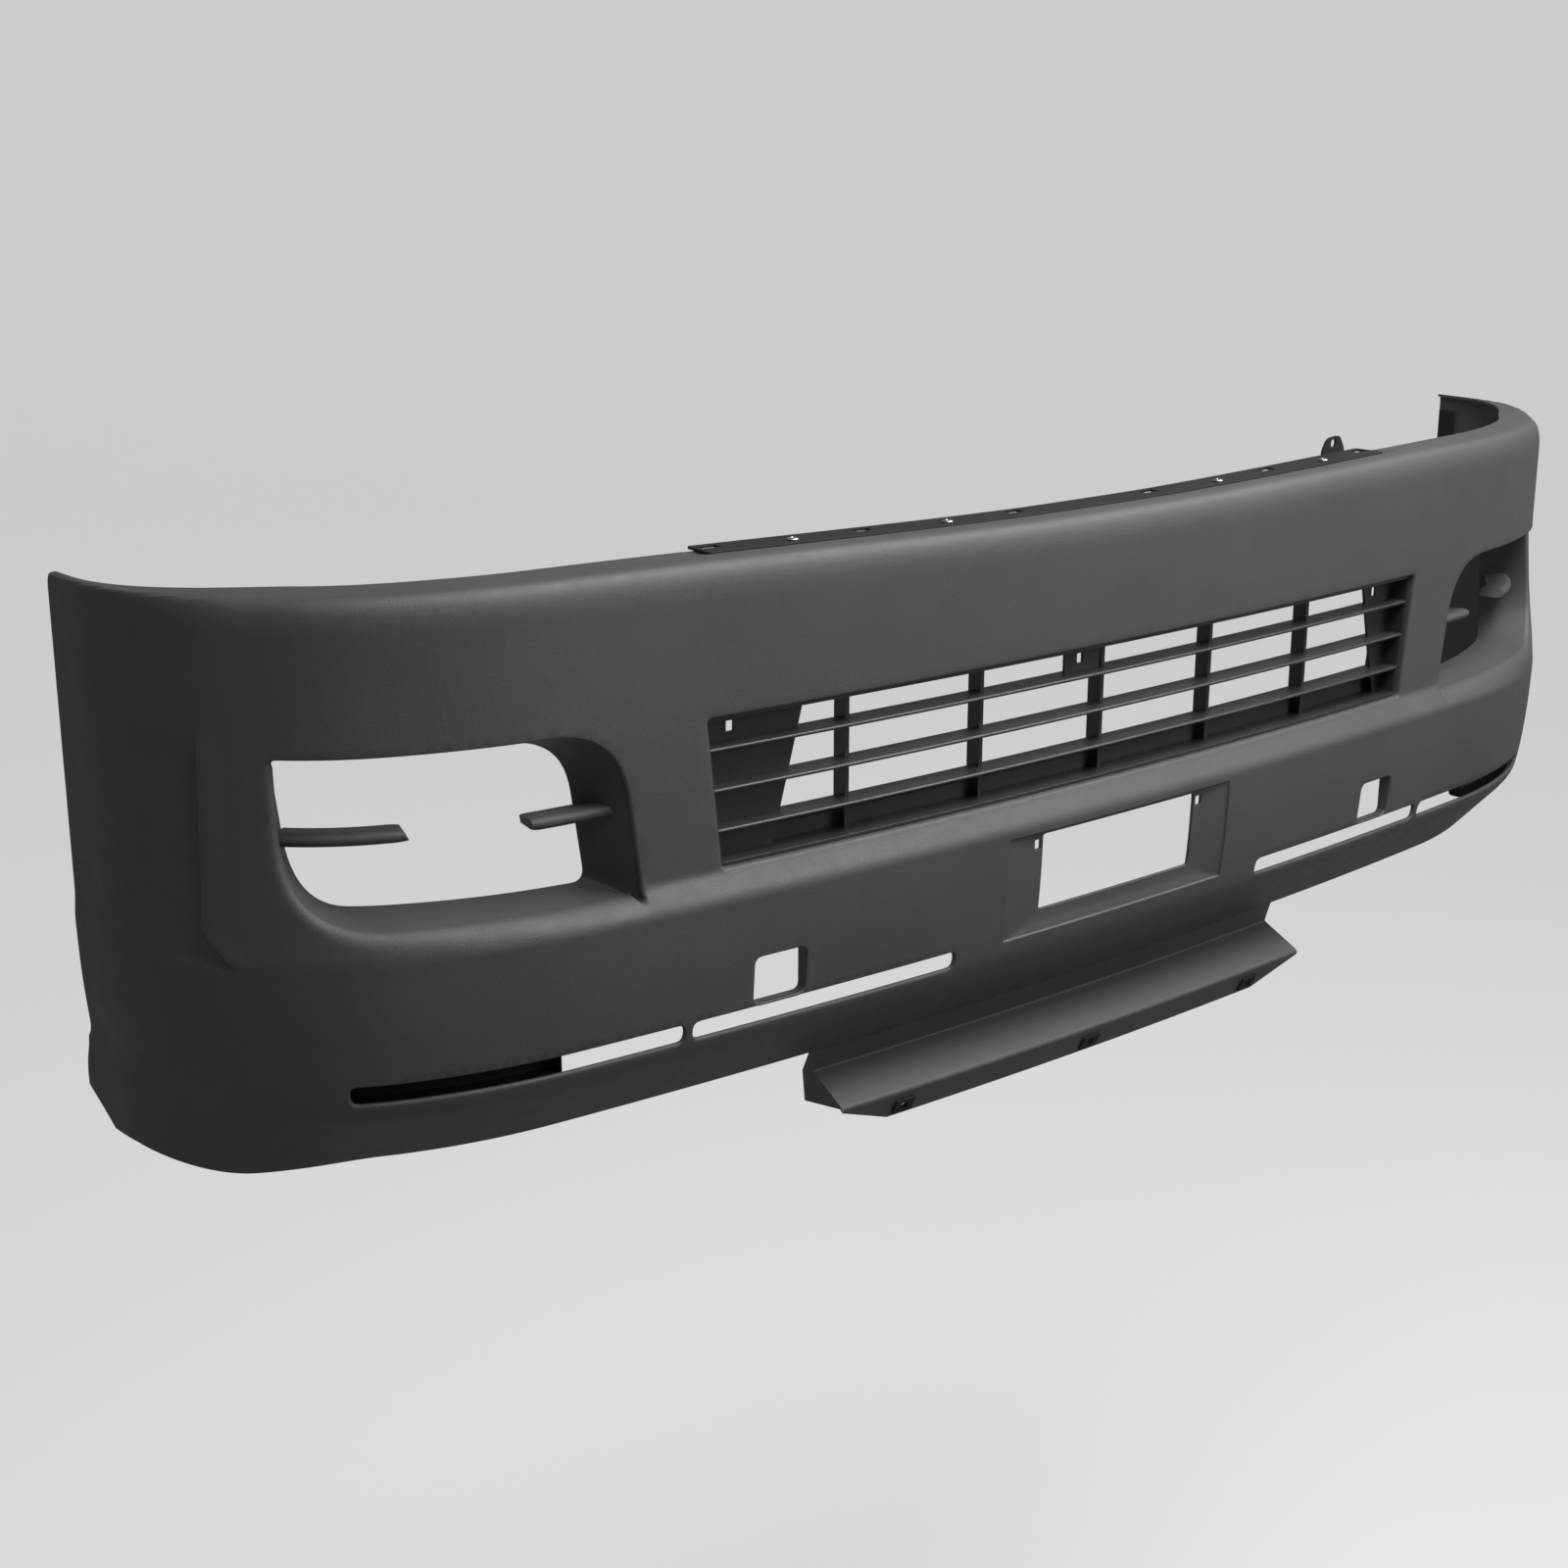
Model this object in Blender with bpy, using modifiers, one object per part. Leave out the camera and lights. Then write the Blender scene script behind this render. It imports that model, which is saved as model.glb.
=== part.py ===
"""Front bumper cover of a wide-body van, in metres.

+X is the vehicle's left-to-right axis, -Y the side that faces the road ahead, +Z is up.
The origin is on the top face of the upper retainer strip, at the centre line.

Every piece is placed by three numbers: the distance along the belt line (the foremost line of
the cover, seen from above), the inset behind that line, and the height.
"""
from math import asin, cos, pi, radians, sin

import bmesh
import bpy
from mathutils import Matrix, Vector

# Belt line: a flat front arc, a quarter arc and a tight corner arc, then a straight wing.
HALF_WIDTH = 0.940
BELT_FRONT_Y = -0.066
FRONT_RADIUS = 6.80
QUARTER_RADIUS = 0.55
CORNER_RADIUS = 0.252
QUARTER_END = radians(22)
CORNER_END = radians(87)
WING_LENGTH = 0.053

# Cover section.
WALL = 0.0030
FACE_INSET = 0.016
CROWN_RISE = 0.0075
CROWN_FLAT = 0.060
SHOULDER_RADIUS = 0.028
SHOULDER_DEPTH = 0.066
FLANGE_DEPTH = 0.080
STEP_WIDTH = WALL
WING_INSET = 0.003
WING_FLANGE = 0.012
WING_SHOULDER_RADIUS = 0.010
LOW_FACE_INSET = 0.002
LOW_FACE_RADIUS = 0.007
LIP_RADIUS = 0.010
TUCK_INSET = 0.011
TUCK_RADIUS = 0.014
WING_TUCK_INSET = 0.001
WING_BOTTOM_INSET = 0.002
CHIN = ((0.001, -0.345), (0.0055, -0.3995), (0.0062, -0.4035))
FACE_BOTTOM_Z = -0.266
LIP_Z = -0.290
SLOT_TOP_Z = -0.399
SLOT_BOTTOM_Z = -0.416
TUCK_Z = -0.428
BOTTOM_Z = -0.490
BOTTOM_INSET = 0.065
WING_BOTTOM_Z = -0.474

# Openings of the cover, as half-widths or distances along the belt line.
GRILLE_TOP_Z = -0.130
GRILLE_BOTTOM_Z = -0.2665
GRILLE_HALF_TOP = 0.493
GRILLE_HALF_BOTTOM = 0.479
GRILLE_RETURN = 0.026
FOG_INNER_S = 0.566
FOG_OUTER_S = 0.886
FOG_TOP_Z = -0.121
FOG_BOTTOM_Z = -0.279
FOG_CORNER = 0.045
FOG_SLANT = 0.020
POCKET_DEPTH = 0.068
POCKET_INNER_S = 0.598
POCKET_OUTER_S = 0.902
POCKET_TOP_Z = -0.132
POCKET_FLOOR_Z = -0.2605
POCKET_CORNER = 0.050
POCKET_LIP = 0.018
POCKET_WALL = 0.0022
POCKET_GAP = 0.0016
SLOPE_REACH = 0.007
NUT_CLEARANCE = 0.0014
BLADE_Z = -0.200
BLADE_THICK = 0.006
BLADE_FRONT = 0.036
BLADE_REAR = 0.062
BLADE_OUTER_S = 0.772
BLADE_INNER_S = 0.652
TOW_INNER_S = 0.398
TOW_OUTER_S = 0.454
TOW_TOP_Z = -0.351
TOW_BOTTOM_Z = -0.3965
TOW_RETURN = 0.012
PLATE_HALF = 0.108
PLATE_TOP_Z = -0.3035
PLATE_BOTTOM_Z = -0.3815
RECESS_HALF = 0.158
RECESS_TOP_Z = -0.298
RECESS_BOTTOM_Z = -0.4035
RECESS_DEPTH = 0.005
RECESS_RAMP = 0.004
PLATE_SCREW_S = 0.1155
PLATE_SCREW_Z = -0.3125
PLATE_SCREW_HOLE = (0.008, 0.010)
SLOT_INNER_S = 0.219
SLOT_DIVIDER_S = 0.521
SLOT_DIVIDER = 0.009
SLOT_BLIND_S = 0.642
SLOT_OUTER_S = 0.832

# Rear edge of the wing, as distances behind its end and heights: a tab, then a cut corner.
WING_TRIM = ((-0.006, 0.03), (-0.008, -0.392), (-0.0005, -0.404), (-0.0005, -0.448),
             (-0.020, -0.455), (-0.045, -0.473))
TRIM_REACH = 0.02
TRIM_LOW_Z = -0.52

# Sunk panel on each wing.
PANEL_FRONT_S = 0.946
PANEL_TOP_Z = -0.098
PANEL_BOTTOM_Z = -0.270
PANEL_DEPTH = 0.003

# Upper retainer strip.
STRIP_HALF = 0.467
STRIP_FRONT = 0.052
STRIP_REAR = 0.088
STRIP_THICK = 0.0025
STRIP_SLOTS = (0.095, 0.284, 0.452)
STRIP_SLOT_LENGTH = 0.020
STRIP_SLOT_DEPTH = 0.012
STRIP_SLOT_INSET = 0.076
CLIP_ROOM = 0.002
STRIP_RIVETS = (0.190, 0.370)
STRIP_RIVET_INSET = 0.064
RIVET_GRIP = 0.009

# Bracket: an ear on a foot behind the strip, as distances from BRACKET_S and heights.
BRACKET_S = 0.431
BRACKET_THICK = 0.003
BRACKET_FOOT = (-0.026, 0.014)
BRACKET_DROP = 0.008
BRACKET_EAR = ((-0.024, -0.003), (-0.018, 0.016), (0.004, 0.018), (0.012, -0.003))
BRACKET_HOLE_AT = (-0.007, 0.010)
BRACKET_HOLE = 0.005

# Lower grille.
RIB_PITCH = 0.163
RIB_THICK = 0.005
SLAT_COUNT = 3
SLAT_THICK = 0.0035
SLAT_CHORD = 0.028
GRILLE_FRONT = 0.0215
GRILLE_REAR = 0.062
FRAME_WALL = 0.003
RIB_FRONT = 0.040
RIB_REAR = 0.057
BLANK_INSET = 0.040
BLANK_EDGES = {"left": (0.375, 0.410), "right": (0.428, 0.462)}
LEDGE_INSET = 0.050
LEDGE_HEIGHT = 0.016
TAB_S = -0.030
TAB_WIDTH = 0.048
TAB_HOLES = (-0.455, -0.033, 0.450)
TAB_HOLE_Z = -0.146
TAB_HOLE = (0.008, 0.010)
GRILLE_SCREW_S = 0.360
GRILLE_SCREW_OUT = 0.012

# Slot liners.
LINER_WALL = 0.0020
LINER_REAR = 0.034
LINER_GAP = 0.0014
LINER_HEAD_Z = -0.375
LINER_ABOVE = 0.0045
LINER_BELOW = 0.004
LINER_STAKE_Z = -0.384
LINER_STAKES = (0.672, 0.812)
LINER_PAST = 0.008

# Lower apron.
APRON_HALF = 0.336
APRON_THICK = 0.0025
APRON_FOLD = (0.054, -0.516)
APRON_TIP = (0.030, -0.540)
APRON_FOOT = (0.0445, -0.570)
APRON_HEEL = (0.090, -0.5525)
APRON_FLANGE_HALF = APRON_HALF - 0.056
APRON_HOLE_S = APRON_FLANGE_HALF - 0.025
APRON_STAKES = (0.100, APRON_HALF - 0.046)
NUT_SIZE = 0.024
NUT_THICK = 0.0018
NUT_HOLE = 0.0052

# Side retainers.
SIDE_WIDTH = 0.024
SIDE_THICK = 0.0025
SIDE_TOP_Z = -0.012
SIDE_BOTTOM_Z = -0.385
SIDE_GAP = 0.0010
SIDE_REAR_S = 0.010
SIDE_STAKES = (0.12, 0.50, 0.88)

# Fasteners and fits.
FIT = 0.0004
SHANK = 0.0022
SHANK_HOLE = 0.0027
HEAD = 0.0055
HEAD_THICK = 0.0022
STAKE = 0.0020
STAKE_HOLE = 0.0025
STAKE_REACH = 0.0035
PUSH_NUT = 0.0060
PUSH_NUT_THICK = 0.0010
BOSS = 0.0060
SCREW_GRIP = 0.0130

GREY_PLASTIC = ((0.045, 0.048, 0.047), 0.62, 0.0)
BLACK_PLASTIC = ((0.012, 0.012, 0.013), 0.55, 0.0)
SLAT_PLASTIC = ((0.030, 0.032, 0.032), 0.55, 0.0)
ZINC_STEEL = ((0.30, 0.30, 0.31), 0.38, 1.0)


def clear_scene():
    for old in list(bpy.data.objects):
        bpy.data.objects.remove(old, do_unlink=True)


def collection(name):
    group = bpy.data.collections.new(name)
    bpy.context.scene.collection.children.link(group)
    return group


clear_scene()
PARTS = collection("bumper_cover_assembly")
CUTTERS = collection("cutters")


def material(name, finish):
    made = bpy.data.materials.get(name) or bpy.data.materials.new(name)
    made.use_nodes = True
    shader = made.node_tree.nodes["Principled BSDF"]
    shader.inputs["Base Color"].default_value = (*finish[0], 1.0)
    shader.inputs["Roughness"].default_value = finish[1]
    shader.inputs["Metallic"].default_value = finish[2]
    return made


def mix(a, b, share):
    return a + (b - a) * share


def ease(value, low, high):
    """0 below low, 1 above high, and a smooth step between them."""
    share = min(1.0, max(0.0, (value - low) / (high - low)))
    return share * share * (3 - 2 * share)


# ---------------------------------------------------------------- belt line

FRONT_END = asin(
    (HALF_WIDTH - (QUARTER_RADIUS - CORNER_RADIUS) * sin(QUARTER_END)
     - CORNER_RADIUS * sin(CORNER_END)) / (FRONT_RADIUS - QUARTER_RADIUS))
BELT_ARCS = (
    (FRONT_RADIUS, FRONT_END), (QUARTER_RADIUS, QUARTER_END), (CORNER_RADIUS, CORNER_END))
CORNER_START_S = FRONT_RADIUS * FRONT_END + QUARTER_RADIUS * (QUARTER_END - FRONT_END)
WING_START_S = CORNER_START_S + CORNER_RADIUS * (CORNER_END - QUARTER_END)
WING_END_S = WING_START_S + WING_LENGTH


def belt(s):
    """Point of the belt line at distance s from the centre, and its outward normal."""
    side = 1 if s >= 0 else -1
    rest = abs(s)
    x, y, heading = 0.0, BELT_FRONT_Y, 0.0
    for radius, end in BELT_ARCS:
        turn = min(rest / radius, end - heading)
        x += radius * (sin(heading + turn) - sin(heading))
        y += radius * (cos(heading) - cos(heading + turn))
        heading += turn
        rest -= radius * turn
        if rest <= 1e-9:
            break
    x += rest * cos(heading)
    y += rest * sin(heading)
    return Vector((side * x, y, 0)), Vector((side * sin(heading), -cos(heading), 0))


def place(s, inset, z):
    point, normal = belt(s)
    return point - normal * inset + Vector((0, 0, z))


# ---------------------------------------------------------------- cover section

def crown_z(s):
    """The crown of the shoulder rises a little from a flat middle to the fog lamps."""
    return CROWN_RISE * ease(abs(s), CROWN_FLAT, 0.62) ** 0.8


def recess(s, z):
    """Inset that the number plate's shallow recess adds."""
    across = 1 - ease(abs(s), RECESS_HALF - RECESS_RAMP, RECESS_HALF)
    upper = 1 - ease(z, RECESS_TOP_Z - RECESS_RAMP, RECESS_TOP_Z)
    lower = ease(z, RECESS_BOTTOM_Z, RECESS_BOTTOM_Z + RECESS_RAMP)
    return RECESS_DEPTH * across * upper * lower


def wing_panel(s, z):
    """Inset that the sunk panel on the wing adds."""
    front = PANEL_FRONT_S - 0.25 * max(0.0, PANEL_BOTTOM_Z + 0.01 - z)
    across = ease(abs(s), front - 0.008, front + 0.004)
    upper = 1 - ease(z, PANEL_TOP_Z - 0.02, PANEL_TOP_Z)
    lower = ease(z, PANEL_BOTTOM_Z - 0.02, PANEL_BOTTOM_Z)
    rear = 1 - ease(abs(s), WING_START_S - 0.05, WING_START_S)
    return PANEL_DEPTH * across * upper * lower * rear


def section_knots(s):
    """Corners of the cover's section: inset, height, corner radius, arc steps."""
    a = abs(s)
    corner = ease(a, FOG_INNER_S, FOG_OUTER_S)
    wing = ease(a, 0.86, WING_END_S - 0.03)
    under_strip = 1 - ease(a, STRIP_HALF + 0.006, STRIP_HALF + 0.022)
    face = mix(FACE_INSET, WING_INSET, wing)
    low_face = mix(face, LOW_FACE_INSET, corner)
    crown = crown_z(s)
    depth = mix(mix(SHOULDER_DEPTH, FLANGE_DEPTH, under_strip), WING_FLANGE, wing)
    step = (STRIP_THICK + 2 * FIT) * under_strip
    step_inset = mix(min(depth - 0.010, STRIP_FRONT), WING_FLANGE - 0.001, wing)
    bottom = mix(BOTTOM_INSET, WING_BOTTOM_INSET, ease(a, 0.80, 1.04))
    bottom_z = mix(BOTTOM_Z, WING_BOTTOM_Z, ease(a, 0.93, 1.05))
    tuck = mix(TUCK_INSET, WING_TUCK_INSET, ease(a, 0.88, 1.03))
    return (
        (depth, crown - step, 0, 0),
        (step_inset, crown - step, 0, 0),
        (step_inset - STEP_WIDTH, crown, 0, 0),
        (face + 0.001, crown - 0.002, mix(SHOULDER_RADIUS, WING_SHOULDER_RADIUS, wing), 4),
        (face, FOG_TOP_Z - 0.008, 0, 0),
        (low_face, FACE_BOTTOM_Z, LOW_FACE_RADIUS, 2),
        (0.0, LIP_Z, LIP_RADIUS, 2),
        (0.0, RECESS_TOP_Z - RECESS_RAMP, 0, 0),
        *((inset, z, 0, 0) for inset, z in CHIN),
        (tuck, TUCK_Z, TUCK_RADIUS, 2),
        (bottom, bottom_z, 0, 0),
    )


def section(s):
    """Section of the cover's outer surface as (inset, height) pairs, from the top down."""
    knots = section_knots(s)
    rows = []
    for k, (inset, z, radius, steps) in enumerate(knots):
        here = Vector((inset, z))
        if not steps:
            rows.append(here)
            continue
        before = Vector(knots[k - 1][:2]) - here
        after = Vector(knots[k + 1][:2]) - here
        start = here + before * min(0.48, radius / before.length)
        end = here + after * min(0.48, radius / after.length)
        for step in range(steps + 1):
            t = step / steps
            rows.append(start * (1 - t) ** 2 + here * 2 * t * (1 - t) + end * t * t)
    return [(row.x + recess(s, row.y) + wing_panel(s, row.y), row.y) for row in rows]


def skin_inset(s, z):
    """Inset of the cover's outer surface at a height below the shoulder."""
    rows = section(s)
    for (inset_a, z_a), (inset_b, z_b) in zip(rows, rows[1:]):
        if z_b <= z <= z_a and z_a > z_b:
            return mix(inset_a, inset_b, (z_a - z) / (z_a - z_b))
    return rows[-1][0]


# ---------------------------------------------------------------- mesh helpers

def add_object(name, mesh, finish):
    obj = bpy.data.objects.new(name, mesh)
    PARTS.objects.link(obj)
    mesh.materials.append(material(*finish))
    mesh.shade_smooth()
    mesh.set_sharp_from_angle(angle=radians(35))
    return obj


def to_mesh(name, bm):
    mesh = bpy.data.meshes.new(name)
    bm.to_mesh(mesh)
    bm.free()
    return mesh


def loft(name, rings):
    """A closed solid through rings of points, with a flat cap at both ends."""
    bm = bmesh.new()
    loops = [[bm.verts.new(point) for point in ring] for ring in rings]
    count = len(loops[0])
    for low, high in zip(loops, loops[1:]):
        for k in range(count):
            bm.faces.new((low[k], low[(k + 1) % count], high[(k + 1) % count], high[k]))
    bm.faces.new(list(reversed(loops[0])))
    bm.faces.new(loops[-1])
    bmesh.ops.recalc_face_normals(bm, faces=bm.faces)
    return to_mesh(name, bm)


def stations(start, end, pitch):
    """Even stations from start to end, at most pitch apart."""
    count = max(1, round(abs(end - start) / pitch + 0.49))
    return [mix(start, end, k / count) for k in range(count + 1)]


def sweep(name, start, end, profile, pitch=0.05):
    """A bar along the belt line; profile(s) gives its section as (inset, height) pairs."""
    return loft(name, [[place(s, inset, z) for inset, z in profile(s)]
                       for s in stations(start, end, pitch)])


def strip_profile(points, thick):
    """Closed section of a bent sheet with the given middle line and thickness."""
    line = [Vector(point) for point in points]
    left, right = [], []
    for k, here in enumerate(line):
        before = (here - line[k - 1]).normalized() if k else None
        after = (line[k + 1] - here).normalized() if k + 1 < len(line) else None
        along = (before or after) + (after or before)
        along.normalize()
        share = along.dot(after or before)
        across = Vector((-along.y, along.x)) * (thick / 2 / share)
        left.append(here + across)
        right.append(here - across)
    return [tuple(point) for point in left + right[::-1]]


def box_mesh(name, low, high):
    bm = bmesh.new()
    bmesh.ops.create_cube(bm, size=1.0)
    size = Vector(high) - Vector(low)
    middle = (Vector(high) + Vector(low)) / 2
    bmesh.ops.scale(bm, vec=size, verts=bm.verts)
    bmesh.ops.translate(bm, vec=middle, verts=bm.verts)
    return to_mesh(name, bm)


def helper(name, mesh):
    """A cutter or a joined-on solid, kept out of the model."""
    obj = bpy.data.objects.new(name, mesh)
    CUTTERS.objects.link(obj)
    obj.hide_render = True
    obj.display_type = 'WIRE'
    return obj


def combine(target, tool, operation):
    modifier = target.modifiers.new(tool.name, 'BOOLEAN')
    modifier.operation = operation
    modifier.solver = 'EXACT'
    modifier.object = tool


def cut(target, name, mesh):
    combine(target, helper(name, mesh), 'DIFFERENCE')


def join(target, name, mesh):
    combine(target, helper(name, mesh), 'UNION')


def axis_matrix(point, direction):
    return Matrix.Translation(point) @ direction.to_track_quat('Z', 'Y').to_matrix().to_4x4()


def rod_mesh(name, point, direction, radius, low, high, sides=10):
    """A cylinder along direction, from low to high as measured from the point."""
    bm = bmesh.new()
    bmesh.ops.create_cone(bm, cap_ends=True, segments=sides, radius1=radius, radius2=radius,
                          depth=high - low)
    bmesh.ops.translate(bm, vec=(0, 0, (high + low) / 2), verts=bm.verts)
    bmesh.ops.transform(bm, matrix=axis_matrix(point, direction), verts=bm.verts)
    return to_mesh(name, bm)


def fastener(name, seat, direction, grip):
    """A screw whose head sits on the seat and whose shank runs along direction."""
    profile = ((0, -HEAD_THICK), (HEAD * 0.62, -HEAD_THICK), (HEAD, -HEAD_THICK * 0.35),
               (HEAD, -FIT), (SHANK, -FIT), (SHANK, grip - SHANK), (0, grip))
    sides = 10
    bm = bmesh.new()
    first = bm.verts.new((0, 0, profile[0][1]))
    last = bm.verts.new((0, 0, profile[-1][1]))
    loops = [[bm.verts.new((radius * cos(2 * pi * k / sides), radius * sin(2 * pi * k / sides), z))
              for k in range(sides)] for radius, z in profile[1:-1]]
    for k in range(sides):
        j = (k + 1) % sides
        bm.faces.new((first, loops[0][j], loops[0][k]))
        bm.faces.new((last, loops[-1][k], loops[-1][j]))
        for low, high in zip(loops, loops[1:]):
            bm.faces.new((low[k], low[j], high[j], high[k]))
    bmesh.ops.recalc_face_normals(bm, faces=bm.faces)
    bmesh.ops.transform(bm, matrix=axis_matrix(seat, direction), verts=bm.verts)
    return add_object(name, to_mesh(name, bm), ("zinc_steel", ZINC_STEEL))


def rounded_outline(corners, radius, steps=3, between=(0, 0, 0, 0)):
    """A polygon with rounded corners; between counts the extra points on each side.

    The outline starts at the middle of its first side, so that zip_cap can close it.
    """
    points = []
    count = len(corners)
    for k in range(count):
        here = Vector(corners[k])
        before = Vector(corners[k - 1]) - here
        after = Vector(corners[(k + 1) % count]) - here
        start = here + before.normalized() * radius
        end = here + after.normalized() * radius
        for step in range(steps + 1):
            t = step / steps
            points.append(start * (1 - t) ** 2 + here * 2 * t * (1 - t) + end * t * t)
        target = here + after - after.normalized() * radius
        points += [end.lerp(target, (j + 1) / (between[k] + 1)) for j in range(between[k])]
    first = steps + 1 + between[0] // 2
    return [tuple(point) for point in points[first:] + points[:first]]


def grown(corners, margin):
    """A convex four-cornered outline moved outwards by a margin on every side."""
    middle = sum((Vector(corner) for corner in corners), Vector((0, 0))) / len(corners)
    moved = []
    for corner in corners:
        sign_s = 1 if corner[0] > middle.x else -1
        sign_z = 1 if corner[1] > middle.y else -1
        moved.append((corner[0] + sign_s * margin, corner[1] + sign_z * margin))
    return moved


def zip_cap(bm, loop):
    """Quads across a loop whose first and last points face each other."""
    last = len(loop) - 1
    for k in range(len(loop) // 2 - 1):
        bm.faces.new((loop[k], loop[k + 1], loop[last - k - 1], loop[last - k]))


def plug(name, outline, front, back):
    """A block behind an outline on the cover, between two insets, bowed like the cover."""
    bm = bmesh.new()
    near, far = [[bm.verts.new(place(s, inset, z)) for s, z in outline] for inset in (front, back)]
    for k in range(len(outline)):
        j = (k + 1) % len(outline)
        bm.faces.new((near[k], near[j], far[j], far[k]))
    zip_cap(bm, near)
    zip_cap(bm, far)
    bmesh.ops.recalc_face_normals(bm, faces=bm.faces)
    return to_mesh(name, bm)


SIDES = (("left", -1), ("right", 1))


# ---------------------------------------------------------------- cover

def cover_mesh():
    half = (stations(0, RECESS_HALF - RECESS_RAMP, 0.08)
            + stations(RECESS_HALF, STRIP_HALF + 0.006, 0.07)
            + stations(STRIP_HALF + 0.022, FOG_INNER_S, 0.06)
            + stations(FOG_INNER_S + 0.03, CORNER_START_S, 0.045)
            + stations(CORNER_START_S + 0.028, WING_END_S, 0.030))
    columns = [-s for s in half[:0:-1]] + half
    bm = bmesh.new()
    grid = [[bm.verts.new(place(s, inset, z)) for inset, z in section(s)] for s in columns]
    for left, right in zip(grid, grid[1:]):
        for k in range(len(left) - 1):
            bm.faces.new((left[k], left[k + 1], right[k + 1], right[k]))
    return to_mesh("bumper_cover", bm)


GRILLE_POINTS = (0, 13, 0, 13)
FOG_POINTS = (2, 5, 2, 5)
SLOT_POINTS = (0, 8, 0, 8)


def grille_corners():
    return [(-GRILLE_HALF_TOP, GRILLE_TOP_Z), (-GRILLE_HALF_BOTTOM, GRILLE_BOTTOM_Z),
            (GRILLE_HALF_BOTTOM, GRILLE_BOTTOM_Z), (GRILLE_HALF_TOP, GRILLE_TOP_Z)]


def fog_corners(side):
    return [(side * FOG_OUTER_S, FOG_TOP_Z), (side * FOG_OUTER_S, FOG_BOTTOM_Z),
            (side * FOG_INNER_S, FOG_BOTTOM_Z - 0.006), (side * (FOG_INNER_S + FOG_SLANT), FOG_TOP_Z)]


def tow_corners(side):
    return [(side * TOW_OUTER_S, TOW_TOP_Z), (side * TOW_OUTER_S, TOW_BOTTOM_Z),
            (side * TOW_INNER_S, TOW_BOTTOM_Z), (side * TOW_INNER_S, TOW_TOP_Z)]


def plate_corners():
    return [(-PLATE_HALF, PLATE_TOP_Z), (-PLATE_HALF, PLATE_BOTTOM_Z),
            (PLATE_HALF, PLATE_BOTTOM_Z), (PLATE_HALF, PLATE_TOP_Z)]


def build_cover():
    cover = add_object("bumper_cover", cover_mesh(), ("grey_plastic", GREY_PLASTIC))
    shell = cover.modifiers.new("wall", 'SOLIDIFY')
    shell.thickness = WALL
    shell.offset = -1
    shell.use_even_offset = False
    corners = grille_corners()
    join(cover, "grille_return",
         plug("grille_return", rounded_outline(grown(corners, WALL), 0.006, 2, GRILLE_POINTS),
              FACE_INSET + WALL / 2, FACE_INSET + GRILLE_RETURN))
    cut(cover, "grille_opening",
        plug("grille_opening", rounded_outline(corners, 0.005, 2, GRILLE_POINTS), -0.03, 0.12))
    for word, side in SIDES:
        corners = fog_corners(side)
        cut(cover, f"fog_opening_{word}",
            plug(f"fog_opening_{word}", rounded_outline(corners, FOG_CORNER, 5, FOG_POINTS),
                 -0.03, 0.045))
        corners = tow_corners(side)
        join(cover, f"tow_return_{word}",
             plug(f"tow_return_{word}", grown(corners, WALL), 0.0045, 0.0045 + TOW_RETURN))
        cut(cover, f"tow_opening_{word}",
            plug(f"tow_opening_{word}", rounded_outline(corners, 0.006, 2), -0.03, 0.05))
        for part, start, end in (("inner", SLOT_INNER_S, SLOT_DIVIDER_S - SLOT_DIVIDER / 2),
                                 ("outer", SLOT_DIVIDER_S + SLOT_DIVIDER / 2, SLOT_OUTER_S)):
            name = f"slot_{part}_{word}"
            outline = rounded_outline(
                [(side * start, SLOT_TOP_Z), (side * start, SLOT_BOTTOM_Z),
                 (side * end, SLOT_BOTTOM_Z), (side * end, SLOT_TOP_Z)], 0.005, 2, SLOT_POINTS)
            cut(cover, name, plug(name, outline, -0.02, 0.026))
        at = place(side * PLATE_SCREW_S, 0, PLATE_SCREW_Z)
        reach = Vector((PLATE_SCREW_HOLE[0] / 2, 0.03, PLATE_SCREW_HOLE[1] / 2))
        cut(cover, f"plate_hole_{word}", box_mesh(f"plate_hole_{word}", at - reach, at + reach))
        cut(cover, f"wing_trim_{word}", wing_trim_mesh(side))
    cut(cover, "plate_opening", plug("plate_opening", plate_corners(), -0.02, 0.04))
    return cover


def wing_trim_mesh(side):
    """Trims the wing's rear edge: a tab low down, then a cut corner."""
    rear = place(WING_END_S, 0, 0).y
    outline = [(TRIM_REACH, WING_TRIM[0][1]), *WING_TRIM, (WING_TRIM[-1][0], TRIM_LOW_Z),
               (TRIM_REACH, TRIM_LOW_Z)]
    near, far = side * (HALF_WIDTH - 0.05), side * (HALF_WIDTH + 0.05)
    return loft("wing_trim", [[Vector((x, rear + y, z)) for y, z in outline] for x in (near, far)])


# ---------------------------------------------------------------- upper strip and bracket

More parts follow.
